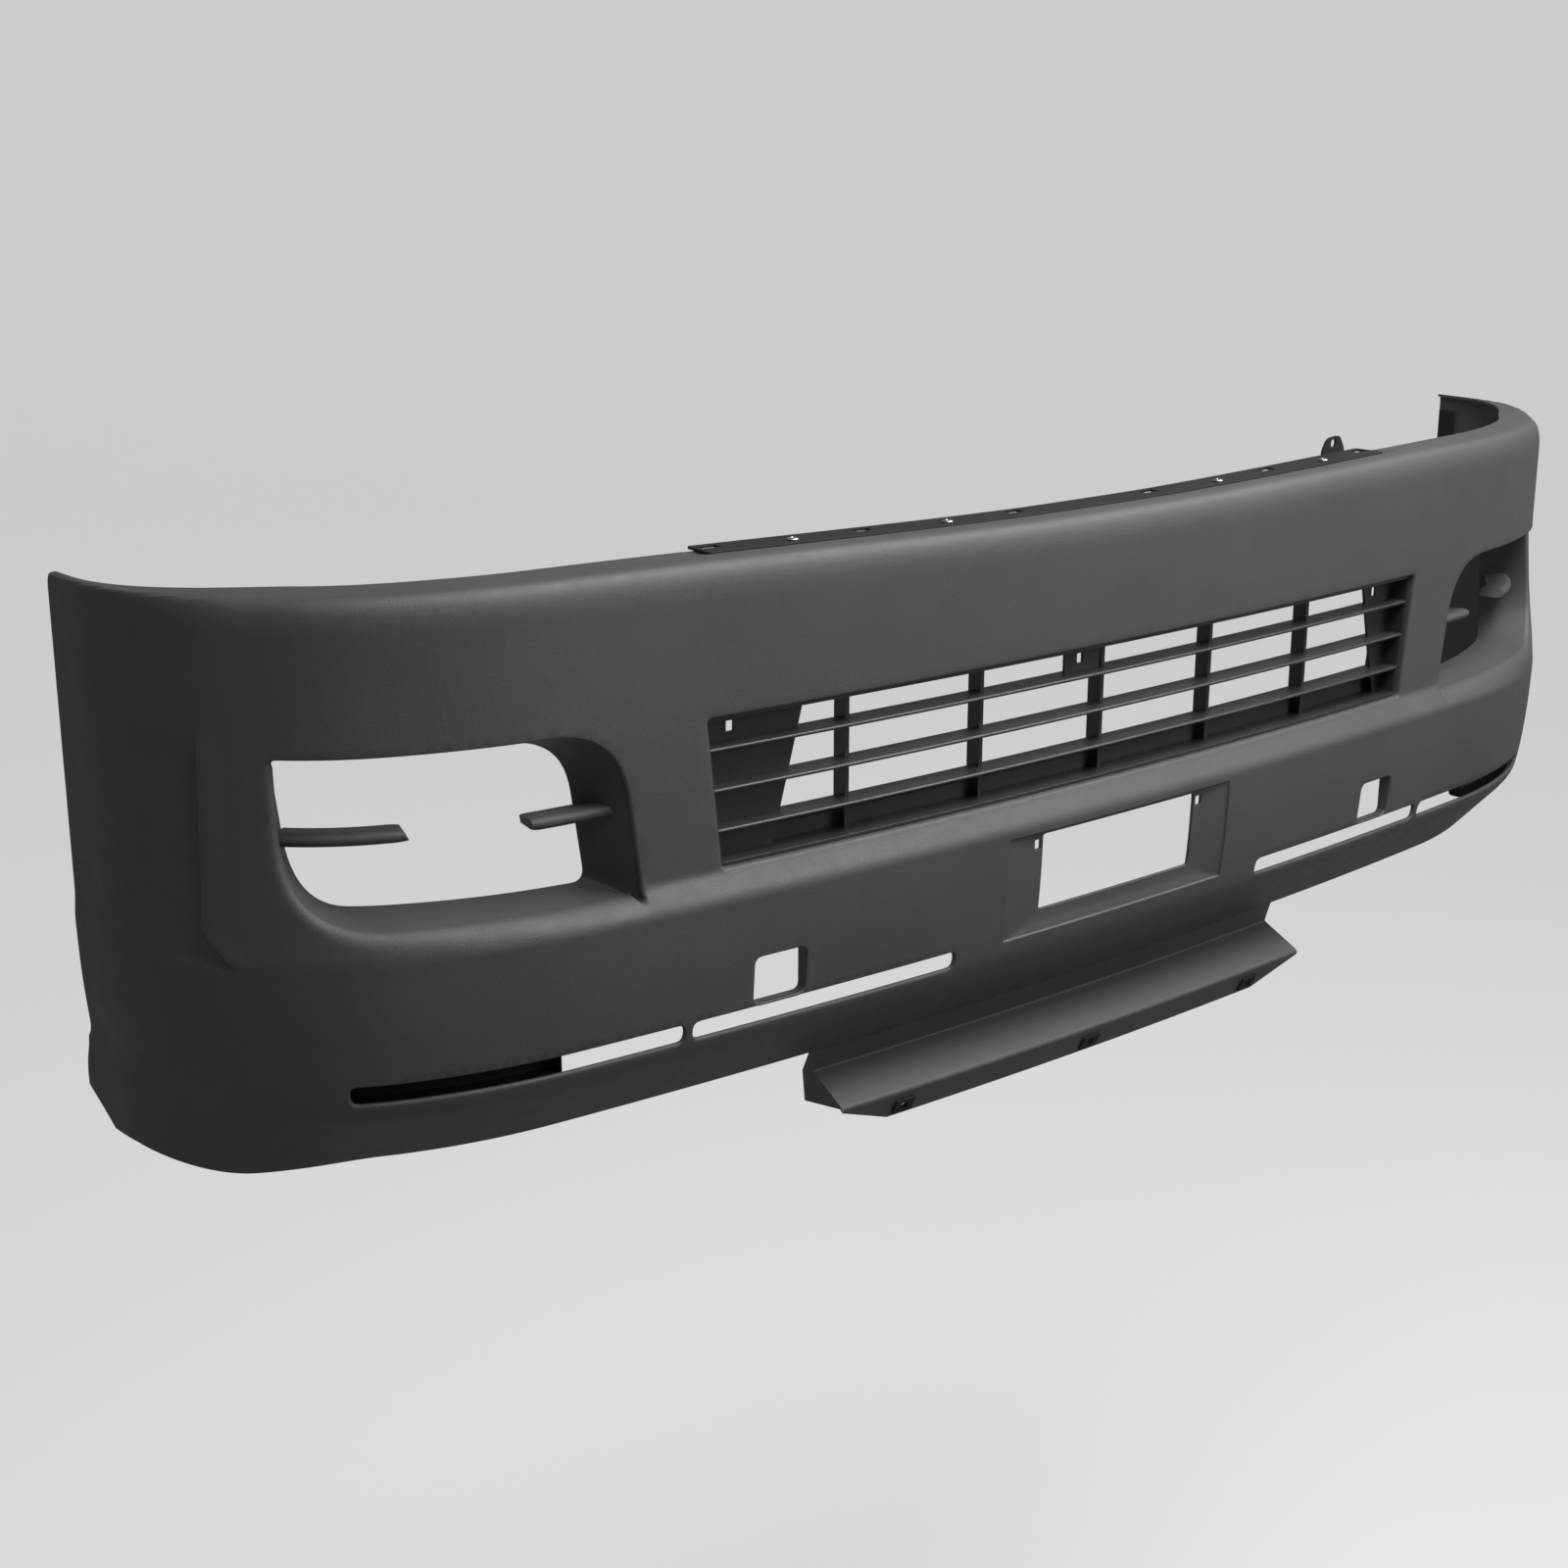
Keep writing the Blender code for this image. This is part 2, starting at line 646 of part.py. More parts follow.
def build_strip(cover):
    def profile(s):
        top = crown_z(s)
        return [(STRIP_FRONT, top), (STRIP_FRONT, top - STRIP_THICK),
                (STRIP_REAR, top - STRIP_THICK), (STRIP_REAR, top)]

    mesh = loft("upper_retainer", [
        [place(s, inset, z) for inset, z in profile(s)]
        for s in (stations(-STRIP_HALF, -CROWN_FLAT, 0.05) + stations(CROWN_FLAT, STRIP_HALF, 0.05))])
    strip = add_object("upper_retainer", mesh, ("black_plastic", BLACK_PLASTIC))
    middle = STRIP_SLOT_INSET
    for k, s in enumerate([-v for v in STRIP_SLOTS[::-1]] + list(STRIP_SLOTS)):
        half = STRIP_SLOT_LENGTH / 2
        ring = [(s - half, middle - STRIP_SLOT_DEPTH / 2), (s + half, middle - STRIP_SLOT_DEPTH / 2),
                (s + half, middle + STRIP_SLOT_DEPTH / 2), (s - half, middle + STRIP_SLOT_DEPTH / 2)]
        name = f"strip_slot_{k + 1}"
        cut(strip, name, loft(name, [[place(a, inset, z) for a, inset in ring]
                                     for z in (-0.02, 0.03)]))
        cut(cover, name + "_below", loft(name, [
            [place(s + (half + CLIP_ROOM) * u, middle + (STRIP_SLOT_DEPTH / 2 + CLIP_ROOM) * v, z)
             for u, v in ((-1, -1), (1, -1), (1, 1), (-1, 1))] for z in (-0.02, 0.03)]))
    for k, s in enumerate([-v for v in STRIP_RIVETS[::-1]] + list(STRIP_RIVETS)):
        seat = place(s, STRIP_RIVET_INSET, crown_z(s) + FIT)
        down = Vector((0, 0, -1))
        for target in (strip, cover):
            name = f"strip_rivet_hole_{k + 1}_{target.name}"
            cut(target, name, rod_mesh(name, seat, down, SHANK_HOLE, -0.01, 0.02))
        fastener(f"retainer_rivet_{k + 1}", seat, down, RIVET_GRIP)
    return strip


def build_bracket(strip):
    """A small upright ear behind the strip's right end, with a round hole."""
    top = crown_z(BRACKET_S)
    rear = STRIP_REAR + FIT
    high, low = top + BRACKET_THICK, top - STRIP_THICK - BRACKET_DROP
    foot = [(rear, high), (rear, low), (rear + BRACKET_THICK, low), (rear + BRACKET_THICK, high)]
    mesh = loft("upper_bracket", [[place(BRACKET_S + s, inset, z) for inset, z in foot]
                                  for s in stations(*BRACKET_FOOT, 0.02)])
    bracket = add_object("upper_bracket", mesh, ("black_plastic", BLACK_PLASTIC))
    ear = [(BRACKET_S + s, top + z) for s, z in BRACKET_EAR]
    join(bracket, "bracket_ear", plug("bracket_ear", ear, rear + 0.0005, rear + 0.0005 + BRACKET_THICK))
    hole = place(BRACKET_S + BRACKET_HOLE_AT[0], rear, top + BRACKET_HOLE_AT[1])
    cut(bracket, "bracket_hole", rod_mesh("bracket_hole", hole, Vector((0, 1, 0)), BRACKET_HOLE,
                                          -0.02, 0.02, 12))
    return bracket


# ---------------------------------------------------------------- fastening

def push_nut_mesh(name, point, direction, low):
    """A flat ring pressed onto a stake, low being its face towards the retained part."""
    sides = 10
    bm = bmesh.new()
    loops = []
    for radius, z in ((STAKE_HOLE, low), (PUSH_NUT, low), (PUSH_NUT, low + PUSH_NUT_THICK),
                      (STAKE_HOLE, low + PUSH_NUT_THICK)):
        loops.append([bm.verts.new((radius * cos(2 * pi * k / sides),
                                    radius * sin(2 * pi * k / sides), z)) for k in range(sides)])
    for here, following in zip(loops, loops[1:] + loops[:1]):
        for k in range(sides):
            j = (k + 1) % sides
            bm.faces.new((here[k], here[j], following[j], following[k]))
    bmesh.ops.recalc_face_normals(bm, faces=bm.faces)
    bmesh.ops.transform(bm, matrix=axis_matrix(point, direction), verts=bm.verts)
    return to_mesh(name, bm)


def stake_and_nut(name, cover, part, point, direction, part_top):
    """A stake inside the cover holds a part, and a push nut on the stake keeps it there.

    point is on the cover's outer surface, direction points into the cover, and part_top is
    the depth of the part's far face.
    """
    nut_low = part_top + FIT
    reach = nut_low + PUSH_NUT_THICK + STAKE_REACH
    join(cover, name + "_stake",
         rod_mesh(name + "_stake", point, direction, STAKE, WALL * 0.4, reach, 8))
    cut(part, name + "_hole",
        rod_mesh(name + "_hole", point, direction, STAKE_HOLE, part_top - 0.008, part_top + 0.004, 8))
    add_object(name, push_nut_mesh(name, point, direction, nut_low), ("zinc_steel", ZINC_STEEL))


def boss_and_screw(name, cover, part, s, z, seat):
    """A boss behind the cover takes a screw that holds a part from the rear."""
    point = place(s, 0, z)
    inward = -belt(s)[1]
    top = seat - FIT
    base = max(skin_inset(s, z + step) for step in (-BOSS, 0, BOSS)) + 0.0006
    part_rear = seat + FRAME_WALL
    join(cover, name + "_boss", rod_mesh(name + "_boss", point, inward, BOSS, base, top, 10))
    cut(cover, name + "_bore",
        rod_mesh(name + "_bore", point, inward, SHANK_HOLE, top - SCREW_GRIP, top + 0.01, 10))
    cut(part, name + "_hole",
        rod_mesh(name + "_hole", point, inward, SHANK_HOLE, seat - 0.004, part_rear + 0.004, 10))
    rear = place(s, part_rear + FIT, z)
    fastener(name, rear, -inward, SCREW_GRIP)


# ---------------------------------------------------------------- lower grille

def grille_half(z, margin):
    share = (GRILLE_TOP_Z - z) / (GRILLE_TOP_Z - GRILLE_BOTTOM_Z)
    return mix(GRILLE_HALF_TOP, GRILLE_HALF_BOTTOM, share) - margin


def build_grille(cover):
    gap = FIT + 0.0002
    outer = grown(grille_corners(), -gap)
    inner = grown(outer, -FRAME_WALL)
    frame_front = FACE_INSET + 0.006
    frame = add_object("lower_grille",
                       plug("lower_grille", rounded_outline(outer, 0.004, 1, GRILLE_POINTS),
                            frame_front, GRILLE_REAR), ("slat_plastic", SLAT_PLASTIC))
    cut(frame, "grille_inside",
        plug("grille_inside", rounded_outline(inner, 0.003, 1, GRILLE_POINTS),
             frame_front - 0.01, GRILLE_REAR + 0.01))
    low, high = inner[1][1] - FRAME_WALL / 2, inner[0][1] + FRAME_WALL / 2
    height = inner[0][1] - inner[1][1]
    for k in range(SLAT_COUNT):
        z = inner[0][1] - height * (k + 0.72) / (SLAT_COUNT + 0.50)
        half = grille_half(z, gap + FRAME_WALL / 2)

        def profile(s, z=z):
            return strip_profile([(GRILLE_FRONT, z), (GRILLE_FRONT + SLAT_CHORD, z)], SLAT_THICK)

        join(frame, f"slat_{k + 1}", sweep(f"slat_{k + 1}", -half, half, profile, 0.07))
    for k in range(-2, 3):
        s = k * RIB_PITCH
        half = RIB_THICK / 2
        join(frame, f"rib_{k + 3}",
             plug(f"rib_{k + 3}", [(s - half, high), (s - half, low), (s + half, low),
                                   (s + half, high)], RIB_FRONT, RIB_REAR))
    for word, side in SIDES:
        top_edge, bottom_edge = BLANK_EDGES[word]
        outline = [(side * top_edge, high), (side * bottom_edge, low),
                   (side * grille_half(low, gap + FRAME_WALL / 2), low),
                   (side * grille_half(high, gap + FRAME_WALL / 2), high)]
        name = f"blanking_panel_{word}"
        join(frame, name, plug(name, outline, BLANK_INSET, BLANK_INSET + FRAME_WALL))
    half = grille_half(low, gap + FRAME_WALL / 2)
    join(frame, "rear_ledge",
         plug("rear_ledge", rounded_outline([(-half, low + LEDGE_HEIGHT), (-half, low), (half, low),
                                             (half, low + LEDGE_HEIGHT)], 0.001, 1, GRILLE_POINTS),
              LEDGE_INSET, LEDGE_INSET + FRAME_WALL))
    tab = [(TAB_S - TAB_WIDTH / 2, high), (TAB_S - TAB_WIDTH / 2, high - LEDGE_HEIGHT * 2),
           (TAB_S + TAB_WIDTH / 2, high - LEDGE_HEIGHT * 2), (TAB_S + TAB_WIDTH / 2, high)]
    join(frame, "centre_tab", plug("centre_tab", tab, BLANK_INSET, BLANK_INSET + FRAME_WALL))
    for number, s in enumerate(TAB_HOLES):
        at = place(s, BLANK_INSET, TAB_HOLE_Z)
        reach = Vector((TAB_HOLE[0] / 2, 0.010, TAB_HOLE[1] / 2))
        name = f"tab_hole_{number + 1}"
        cut(frame, name, box_mesh(name, at - reach, at + reach))
    seat = FACE_INSET + GRILLE_RETURN + 2 * FIT
    for number, (s, z) in enumerate(grille_screw_places()):
        edge = GRILLE_TOP_Z - 0.002 if z > GRILLE_TOP_Z else GRILLE_BOTTOM_Z + 0.002
        far = z + (0.008 if z > edge else -0.008)
        ear = [(s - 0.010, edge), (s + 0.010, edge), (s + 0.010, far), (s - 0.010, far)]
        name = f"grille_ear_{number + 1}"
        join(frame, name, plug(name, ear, seat, seat + FRAME_WALL))
        boss_and_screw(f"grille_screw_{number + 1}", cover, frame, s, z, seat)
    return frame


def grille_screw_places():
    return [(s, z) for s in (-GRILLE_SCREW_S, GRILLE_SCREW_S)
            for z in (GRILLE_TOP_Z + GRILLE_SCREW_OUT, GRILLE_BOTTOM_Z - GRILLE_SCREW_OUT)]


# ---------------------------------------------------------------- fog lamp pockets

def pocket_rear_corners(side):
    return [(side * POCKET_OUTER_S, POCKET_TOP_Z), (side * POCKET_OUTER_S, POCKET_FLOOR_Z),
            (side * POCKET_INNER_S, POCKET_FLOOR_Z - 0.004),
            (side * (POCKET_INNER_S + 0.014), POCKET_TOP_Z - 0.003)]


def behind_skin(s, z, extra=0.0):
    """Inset just behind the cover's wall, also where the wall slopes."""
    deepest = max(skin_inset(s, z + step) for step in (-SLOPE_REACH, 0, SLOPE_REACH))
    return deepest + WALL + FIT + extra


def build_pocket(word, side, cover):
    """A lamp pocket: a lip behind the cover's opening, four walls and two short blades."""
    front = rounded_outline(fog_corners(side), FOG_CORNER, 5, FOG_POINTS)
    lip = rounded_outline(grown(fog_corners(side), POCKET_LIP), FOG_CORNER + POCKET_LIP / 2, 5,
                          FOG_POINTS)
    rear = rounded_outline(pocket_rear_corners(side), POCKET_CORNER, 5, FOG_POINTS)
    lip_ring = [place(s, behind_skin(s, z, POCKET_GAP), z) for s, z in lip]
    front_ring = [place(s, behind_skin(s, z, POCKET_GAP), z) for s, z in front]
    rear_ring = [place(s, POCKET_DEPTH, z) for s, z in rear]
    bm = bmesh.new()
    loops = [[bm.verts.new(point) for point in ring] for ring in (lip_ring, front_ring, rear_ring)]
    count = len(front)
    for near, far in zip(loops, loops[1:]):
        for k in range(count):
            j = (k + 1) % count
            quad = (near[k], near[j], far[j], far[k])
            bm.faces.new(quad if side > 0 else quad[::-1])
    name = f"fog_pocket_{word}"
    pocket = add_object(name, to_mesh(name, bm), ("grey_plastic", GREY_PLASTIC))
    wall = pocket.modifiers.new("wall", 'SOLIDIFY')
    wall.thickness = POCKET_WALL
    wall.offset = 1
    wall.use_even_offset = False
    for blade, tip, root in (("outer", BLADE_OUTER_S, mix(FOG_OUTER_S, POCKET_OUTER_S, 0.5) + 0.001),
                             ("inner", BLADE_INNER_S, mix(FOG_INNER_S, POCKET_INNER_S, 0.5))):
        high, low = BLADE_Z + BLADE_THICK / 2, BLADE_Z - BLADE_THICK / 2
        slant = 0.006 if blade == "outer" else -0.006
        outline = [(side * tip, high), (side * (tip + slant), low), (side * root, low),
                   (side * root, high)]
        join(pocket, f"blade_{blade}_{word}",
             plug(f"blade_{blade}_{word}", outline, BLADE_FRONT, BLADE_REAR))
    for number, (s, z) in enumerate(pocket_stakes()):
        stake_and_nut(f"pocket_push_nut_{word}_{number + 1}", cover, pocket,
                      place(side * s, skin_inset(s, z), z), -belt(side * s)[1],
                      WALL + POCKET_GAP + POCKET_WALL + NUT_CLEARANCE)
    return pocket


def pocket_stakes():
    middle_s = (FOG_INNER_S + FOG_OUTER_S) / 2
    middle_z = (FOG_TOP_Z + FOG_BOTTOM_Z) / 2
    out = PUSH_NUT + POCKET_WALL + 0.0010
    return ((middle_s, FOG_TOP_Z + out), (FOG_INNER_S + FOG_SLANT / 2 - out, middle_z),
            (FOG_OUTER_S + out + 0.0025, middle_z))


# ---------------------------------------------------------------- slot liners

def build_slot_liner(word, side, cover):
    """A black channel that closes the outer part of the lower slot."""
    def profile(s):
        roof, floor = SLOT_TOP_Z + LINER_ABOVE, SLOT_BOTTOM_Z - LINER_BELOW
        high = behind_skin(s, SLOT_TOP_Z + 0.006, LINER_GAP)
        low = behind_skin(s, floor, LINER_GAP + 0.0008)
        return strip_profile([(high, LINER_HEAD_Z), (high, roof), (LINER_REAR, roof),
                              (LINER_REAR, floor), (low, floor)], LINER_WALL)

    name = f"slot_liner_{word}"
    mesh = sweep(name, side * SLOT_BLIND_S, side * (SLOT_OUTER_S + LINER_PAST), profile, 0.03)
    liner = add_object(name, mesh, ("black_plastic", BLACK_PLASTIC))
    z = LINER_STAKE_Z
    for number, s in enumerate(LINER_STAKES):
        top = behind_skin(s, SLOT_TOP_Z + 0.006, LINER_GAP) + LINER_WALL / 2 - skin_inset(s, z)
        stake_and_nut(f"liner_push_nut_{word}_{number + 1}", cover, liner,
                      place(side * s, skin_inset(s, z), z), -belt(side * s)[1], top)
    return liner


# ---------------------------------------------------------------- lower apron

def slope_point(s, u, depth):
    """A point below the slots, u of the way down the cover's slope and depth inside it."""
    knots = section_knots(s)
    high, low = Vector(knots[-2][:2]), Vector(knots[-1][:2])
    along = (low - high).normalized()
    inward = Vector((-along.y, along.x))
    return high.lerp(low, u) + inward * depth


def apron_line(s):
    depth = WALL + FIT + APRON_THICK / 2
    return [slope_point(s, 0.62, depth), slope_point(s, 1.02, depth), APRON_FOLD, APRON_TIP,
            APRON_FOOT]


def build_apron(cover):
    mesh = sweep("lower_apron", -APRON_HALF, APRON_HALF,
                 lambda s: strip_profile(apron_line(s), APRON_THICK), 0.075)
    apron = add_object("lower_apron", mesh, ("grey_plastic", GREY_PLASTIC))
    for word, side in SIDES:
        heel = [tuple(slope_point(APRON_HALF, 1.02, WALL)), APRON_FOLD, APRON_TIP, APRON_HEEL]
        name = f"apron_end_{word}"
        ends = (side * (APRON_HALF - APRON_THICK), side * (APRON_HALF - 0.0002))
        join(apron, name, loft(name, [[place(s, inset, z) for inset, z in heel] for s in ends]))
        name = f"apron_corner_{word}"
        corner = [(side * APRON_FLANGE_HALF, APRON_TIP[1] - 0.003),
                  (side * (APRON_FLANGE_HALF - 0.012), -0.60), (side * (APRON_HALF + 0.02), -0.60),
                  (side * (APRON_HALF + 0.02), APRON_TIP[1] - 0.003)]
        cut(apron, name, plug(name, corner, 0.0, 0.07))
    for number, s in enumerate((-APRON_HOLE_S, 0.0, APRON_HOLE_S)):
        build_clip_nut(number + 1, s, apron)
    for number, s in enumerate([-v for v in APRON_STAKES[::-1]] + list(APRON_STAKES)):
        inset, z = slope_point(s, 0.76, 0)
        deep_inset, deep_z = slope_point(s, 0.76, 1)
        direction = (place(s, deep_inset, deep_z) - place(s, inset, z)).normalized()
        stake_and_nut(f"apron_push_nut_{number + 1}", cover, apron, place(s, inset, z), direction,
                      WALL + FIT + APRON_THICK)
    return apron


def build_clip_nut(number, s, apron):
    """A flat clip nut on the front of the apron's flange, over a round hole."""
    tip, foot = Vector(APRON_TIP), Vector(APRON_FOOT)
    along = (foot - tip).normalized()
    outward = Vector((along.y, -along.x))
    middle = tip + along * (foot - tip).length * 0.60
    near = outward * (APRON_THICK / 2 + FIT)
    far = outward * (APRON_THICK / 2 + FIT + NUT_THICK)
    half = along * NUT_SIZE * 0.38
    ring = [middle - half + near, middle + half + near, middle + half + far, middle - half + far]
    name = f"apron_clip_nut_{number}"
    mesh = loft(name, [[place(a, inset, z) for inset, z in ring]
                       for a in (s - NUT_SIZE / 2, s + NUT_SIZE / 2)])
    nut = add_object(name, mesh, ("black_plastic", BLACK_PLASTIC))
    direction = (place(s, outward.x, outward.y) - place(s, 0, 0)).normalized()
    centre = place(s, middle.x, middle.y)
    for target in (nut, apron):
        cut(target, f"{name}_hole_{target.name}",
            rod_mesh(f"{name}_hole", centre, direction, NUT_HOLE, -0.008, 0.010, 8))


# ---------------------------------------------------------------- side retainers

def build_side_retainer(word, side, cover):
    """A strip inside the wing's rear edge, where the cover is fixed to the wheel arch."""
    name = f"side_retainer_{word}"
    rear = WING_END_S - SIDE_REAR_S
    front = rear - SIDE_WIDTH

    def ring(z):
        inset = max(behind_skin(front, z, SIDE_GAP), behind_skin(rear, z, SIDE_GAP))
        return [place(side * front, inset, z), place(side * rear, inset, z),
                place(side * rear, inset + SIDE_THICK, z), place(side * front, inset + SIDE_THICK, z)]

    mesh = loft(name, [ring(z) for z in stations(SIDE_TOP_Z, SIDE_BOTTOM_Z, 0.06)])
    retainer = add_object(name, mesh, ("black_plastic", BLACK_PLASTIC))
    middle = (front + rear) / 2
    for number, share in enumerate(SIDE_STAKES):
        z = mix(SIDE_TOP_Z, SIDE_BOTTOM_Z, share)
        top = max(behind_skin(front, z, SIDE_GAP), behind_skin(rear, z, SIDE_GAP)) + SIDE_THICK
        skin = skin_inset(middle, z)
        stake_and_nut(f"side_push_nut_{word}_{number + 1}", cover, retainer,
                      place(side * middle, skin, z), -belt(side * middle)[1], top - skin + SIDE_GAP)
    return retainer


def build_all():
    cover = build_cover()
    strip = build_strip(cover)
    build_bracket(strip)
    build_grille(cover)
    build_apron(cover)
    for word, side in SIDES:
        build_pocket(word, side, cover)
        build_slot_liner(word, side, cover)
        build_side_retainer(word, side, cover)


build_all()
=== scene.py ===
"""Looks of a van's front bumper cover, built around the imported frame.

Metres, +Z up, -Y faces the road ahead. As in the frame, a place on the cover is given by the
distance s along its belt line, the inset behind that line, and the height z.
"""
from math import asin, cos, pi, radians, sin

import bmesh
import bpy
import numpy as np
from mathutils import Matrix, Vector
from mathutils.bvhtree import BVHTree
from mathutils.geometry import delaunay_2d_cdt


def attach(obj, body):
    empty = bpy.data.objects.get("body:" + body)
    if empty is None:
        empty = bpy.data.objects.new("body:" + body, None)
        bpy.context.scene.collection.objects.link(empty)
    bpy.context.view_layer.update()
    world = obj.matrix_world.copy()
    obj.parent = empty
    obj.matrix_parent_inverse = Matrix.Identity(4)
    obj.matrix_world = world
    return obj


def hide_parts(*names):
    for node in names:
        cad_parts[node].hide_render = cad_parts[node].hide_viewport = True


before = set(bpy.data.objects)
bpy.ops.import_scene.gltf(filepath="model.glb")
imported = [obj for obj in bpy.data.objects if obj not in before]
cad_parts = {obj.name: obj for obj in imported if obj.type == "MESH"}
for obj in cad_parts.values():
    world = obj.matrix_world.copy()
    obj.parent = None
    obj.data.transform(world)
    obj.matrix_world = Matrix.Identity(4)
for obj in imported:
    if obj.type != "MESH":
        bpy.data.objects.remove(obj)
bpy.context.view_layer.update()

# Belt line.
HALF_WIDTH = 0.940
BELT_FRONT_Y = -0.066
FRONT_RADIUS = 6.80
QUARTER_RADIUS = 0.55
CORNER_RADIUS = 0.252
QUARTER_END = radians(22)
CORNER_END = radians(87)
WING_LENGTH = 0.053

# Cover section.
WALL = 0.0030
FACE_INSET = 0.016
CROWN_RISE = 0.0075
CROWN_FLAT = 0.060
SHOULDER_RADIUS = 0.030
SHOULDER_DEPTH = 0.066
FLANGE_DEPTH = 0.080
FACE_TOP_Z = -0.129
FACE_BOTTOM_Z = -0.2685
LIP_Z = -0.2885
TUCK_Z = -0.428
BOTTOM_Z = -0.490
BOTTOM_INSET = 0.065
WING_BOTTOM_Z = -0.474

# Strip, grille, pockets, slots and apron, as in the frame.
STRIP_HALF = 0.467
STRIP_FRONT = 0.052
STRIP_REAR = 0.088
STRIP_THICK = 0.0025
STRIP_SLOTS = (0.095, 0.284, 0.452)
STRIP_SLOT_LENGTH = 0.020
STRIP_SLOT_INSETS = (0.070, 0.082)
STRIP_SLOT_ROOM = 0.012
STRIP_RIVETS = (0.190, 0.370)
STRIP_RIVET_INSET = 0.012
BRACKET_S = 0.431
GRILLE_TOP_Z = -0.130
GRILLE_BOTTOM_Z = -0.2665
GRILLE_HALF_TOP = 0.493
GRILLE_HALF_BOTTOM = 0.479
GRILLE_RETURN = 0.026
GRILLE_FRONT = 0.0215
GRILLE_REAR = 0.062
FRAME_WALL = 0.003
SLAT_CHORD = 0.028
SLAT_THICK = 0.0042
RIB_PITCH = 0.163
RIB_THICK = 0.005
RIB_FRONT = 0.040
RIB_REAR = 0.057
BLANK_INSET = 0.040
BLANK_EDGES = {-1: (0.375, 0.410), 1: (0.428, 0.462)}
LEDGE_INSET = 0.050
LEDGE_HEIGHT = 0.016
TAB_S = -0.030
TAB_WIDTH = 0.048
TAB_HOLES = {"left": -0.455, "centre": -0.033, "right": 0.450}
TAB_HOLE_Z = -0.146
SCREW_S = 0.360
SCREW_MARGIN = 0.012
POCKET_DEPTH = 0.068
POCKET_WALL = 0.0022
BLADE_FRONT = 0.034
BLADE_REAR = 0.062
BLADE_THICK = 0.0125
PLATE_HALF = 0.108
PLATE_HEIGHTS = (-0.3815, -0.3035)
PLATE_SCREW_S = 0.1155
PLATE_SCREW_HALF = 0.004
PLATE_SCREW_HEIGHTS = (-0.3175, -0.3075)
TOW_EYE_S = (0.398, 0.454)
TOW_EYE_HEIGHTS = (-0.3965, -0.351)
SLOT_TOP_Z = -0.399
SLOT_BOTTOM_Z = -0.416
SLOT_INNER_S = 0.219
SLOT_DIVIDER_S = 0.521
SLOT_DIVIDER = 0.009
SLOT_BLIND_S = 0.642
SLOT_OUTER_S = 0.832
LINER_REAR = 0.034
APRON_HALF = 0.336
APRON_THICK = 0.0025
APRON_FOLD = (0.078, -0.517)
APRON_TIP = (0.030, -0.540)
APRON_FOOT = (0.0445, -0.5698)
APRON_HEEL = (0.090, -0.5525)
GUSSET_REAR = (0.094, -0.522)
APRON_FLANGE_HALF = 0.280
APRON_BOLTS = (-0.255, 0.0, 0.255)
BOLT_HOLE = 0.0052

SIDES = (("left", -1), ("right", 1))

# Fits and fasteners, as in the frame.
FIT = 0.0004
SHANK = 0.0022
HEAD = 0.0055
HEAD_THICK = 0.0022
STAKE = 0.0020
STAKE_REACH = 0.0035
SHANK_HOLE = 0.0027
PUSH_NUT = 0.0060
PUSH_NUT_THICK = 0.0010
BOSS = 0.0060
SCREW_GRIP = 0.0130
RIVET_GRIP = 0.009

# Mesh steps of the cover and the limits of its three height zones.
COLUMN_PITCH = 0.012
CORNER_PITCH = 0.005
SHOULDER_Z = -0.055
SHOULDER_SPAN = 0.105
TAIL_Z = -0.420
TAIL_SPAN = 0.070
NOTCH_SHARE = 0.898
ARC_STEPS = 9
RIM_STEPS = 5


# ---- belt line and section

def mix(a, b, share):
    return a + (b - a) * share


def ease(value, low, high):
    """0 at low, 1 at high and beyond, and a smooth step between them."""
    share = min(1.0, max(0.0, (value - low) / (high - low)))
    return share * share * (3 - 2 * share)


def curve(start, knee, end, steps):
    """Points of the round between two edges that meet at a knee."""
    return [start * (1 - t) ** 2 + knee * 2 * t * (1 - t) + end * t * t
            for t in (step / steps for step in range(steps + 1))]


FRONT_END = asin(
    (HALF_WIDTH - (QUARTER_RADIUS - CORNER_RADIUS) * sin(QUARTER_END)
     - CORNER_RADIUS * sin(CORNER_END)) / (FRONT_RADIUS - QUARTER_RADIUS))
BELT_ARCS = (
    (FRONT_RADIUS, FRONT_END), (QUARTER_RADIUS, QUARTER_END), (CORNER_RADIUS, CORNER_END))
CORNER_START_S = FRONT_RADIUS * FRONT_END + QUARTER_RADIUS * (QUARTER_END - FRONT_END)
WING_START_S = CORNER_START_S + CORNER_RADIUS * (CORNER_END - QUARTER_END)
WING_END_S = WING_START_S + WING_LENGTH


def belt(s):
    """Point of the belt line at distance s from the centre, and its outward normal."""
    side = 1 if s >= 0 else -1
    rest = abs(s)
    x, y, heading = 0.0, BELT_FRONT_Y, 0.0
    for radius, end in BELT_ARCS:
        turn = min(rest / radius, end - heading)
        x += radius * (sin(heading + turn) - sin(heading))
        y += radius * (cos(heading) - cos(heading + turn))
        heading += turn
        rest -= radius * turn
        if rest <= 1e-9:
            break
    x += rest * cos(heading)
    y += rest * sin(heading)
    return Vector((side * x, y, 0)), Vector((side * sin(heading), -cos(heading), 0))


def place(s, inset, z):
    point, normal = belt(s)
    return point - normal * inset + Vector((0, 0, z))


def crown_z(s):
    return CROWN_RISE * ease(abs(s), CROWN_FLAT, 0.62) ** 0.8


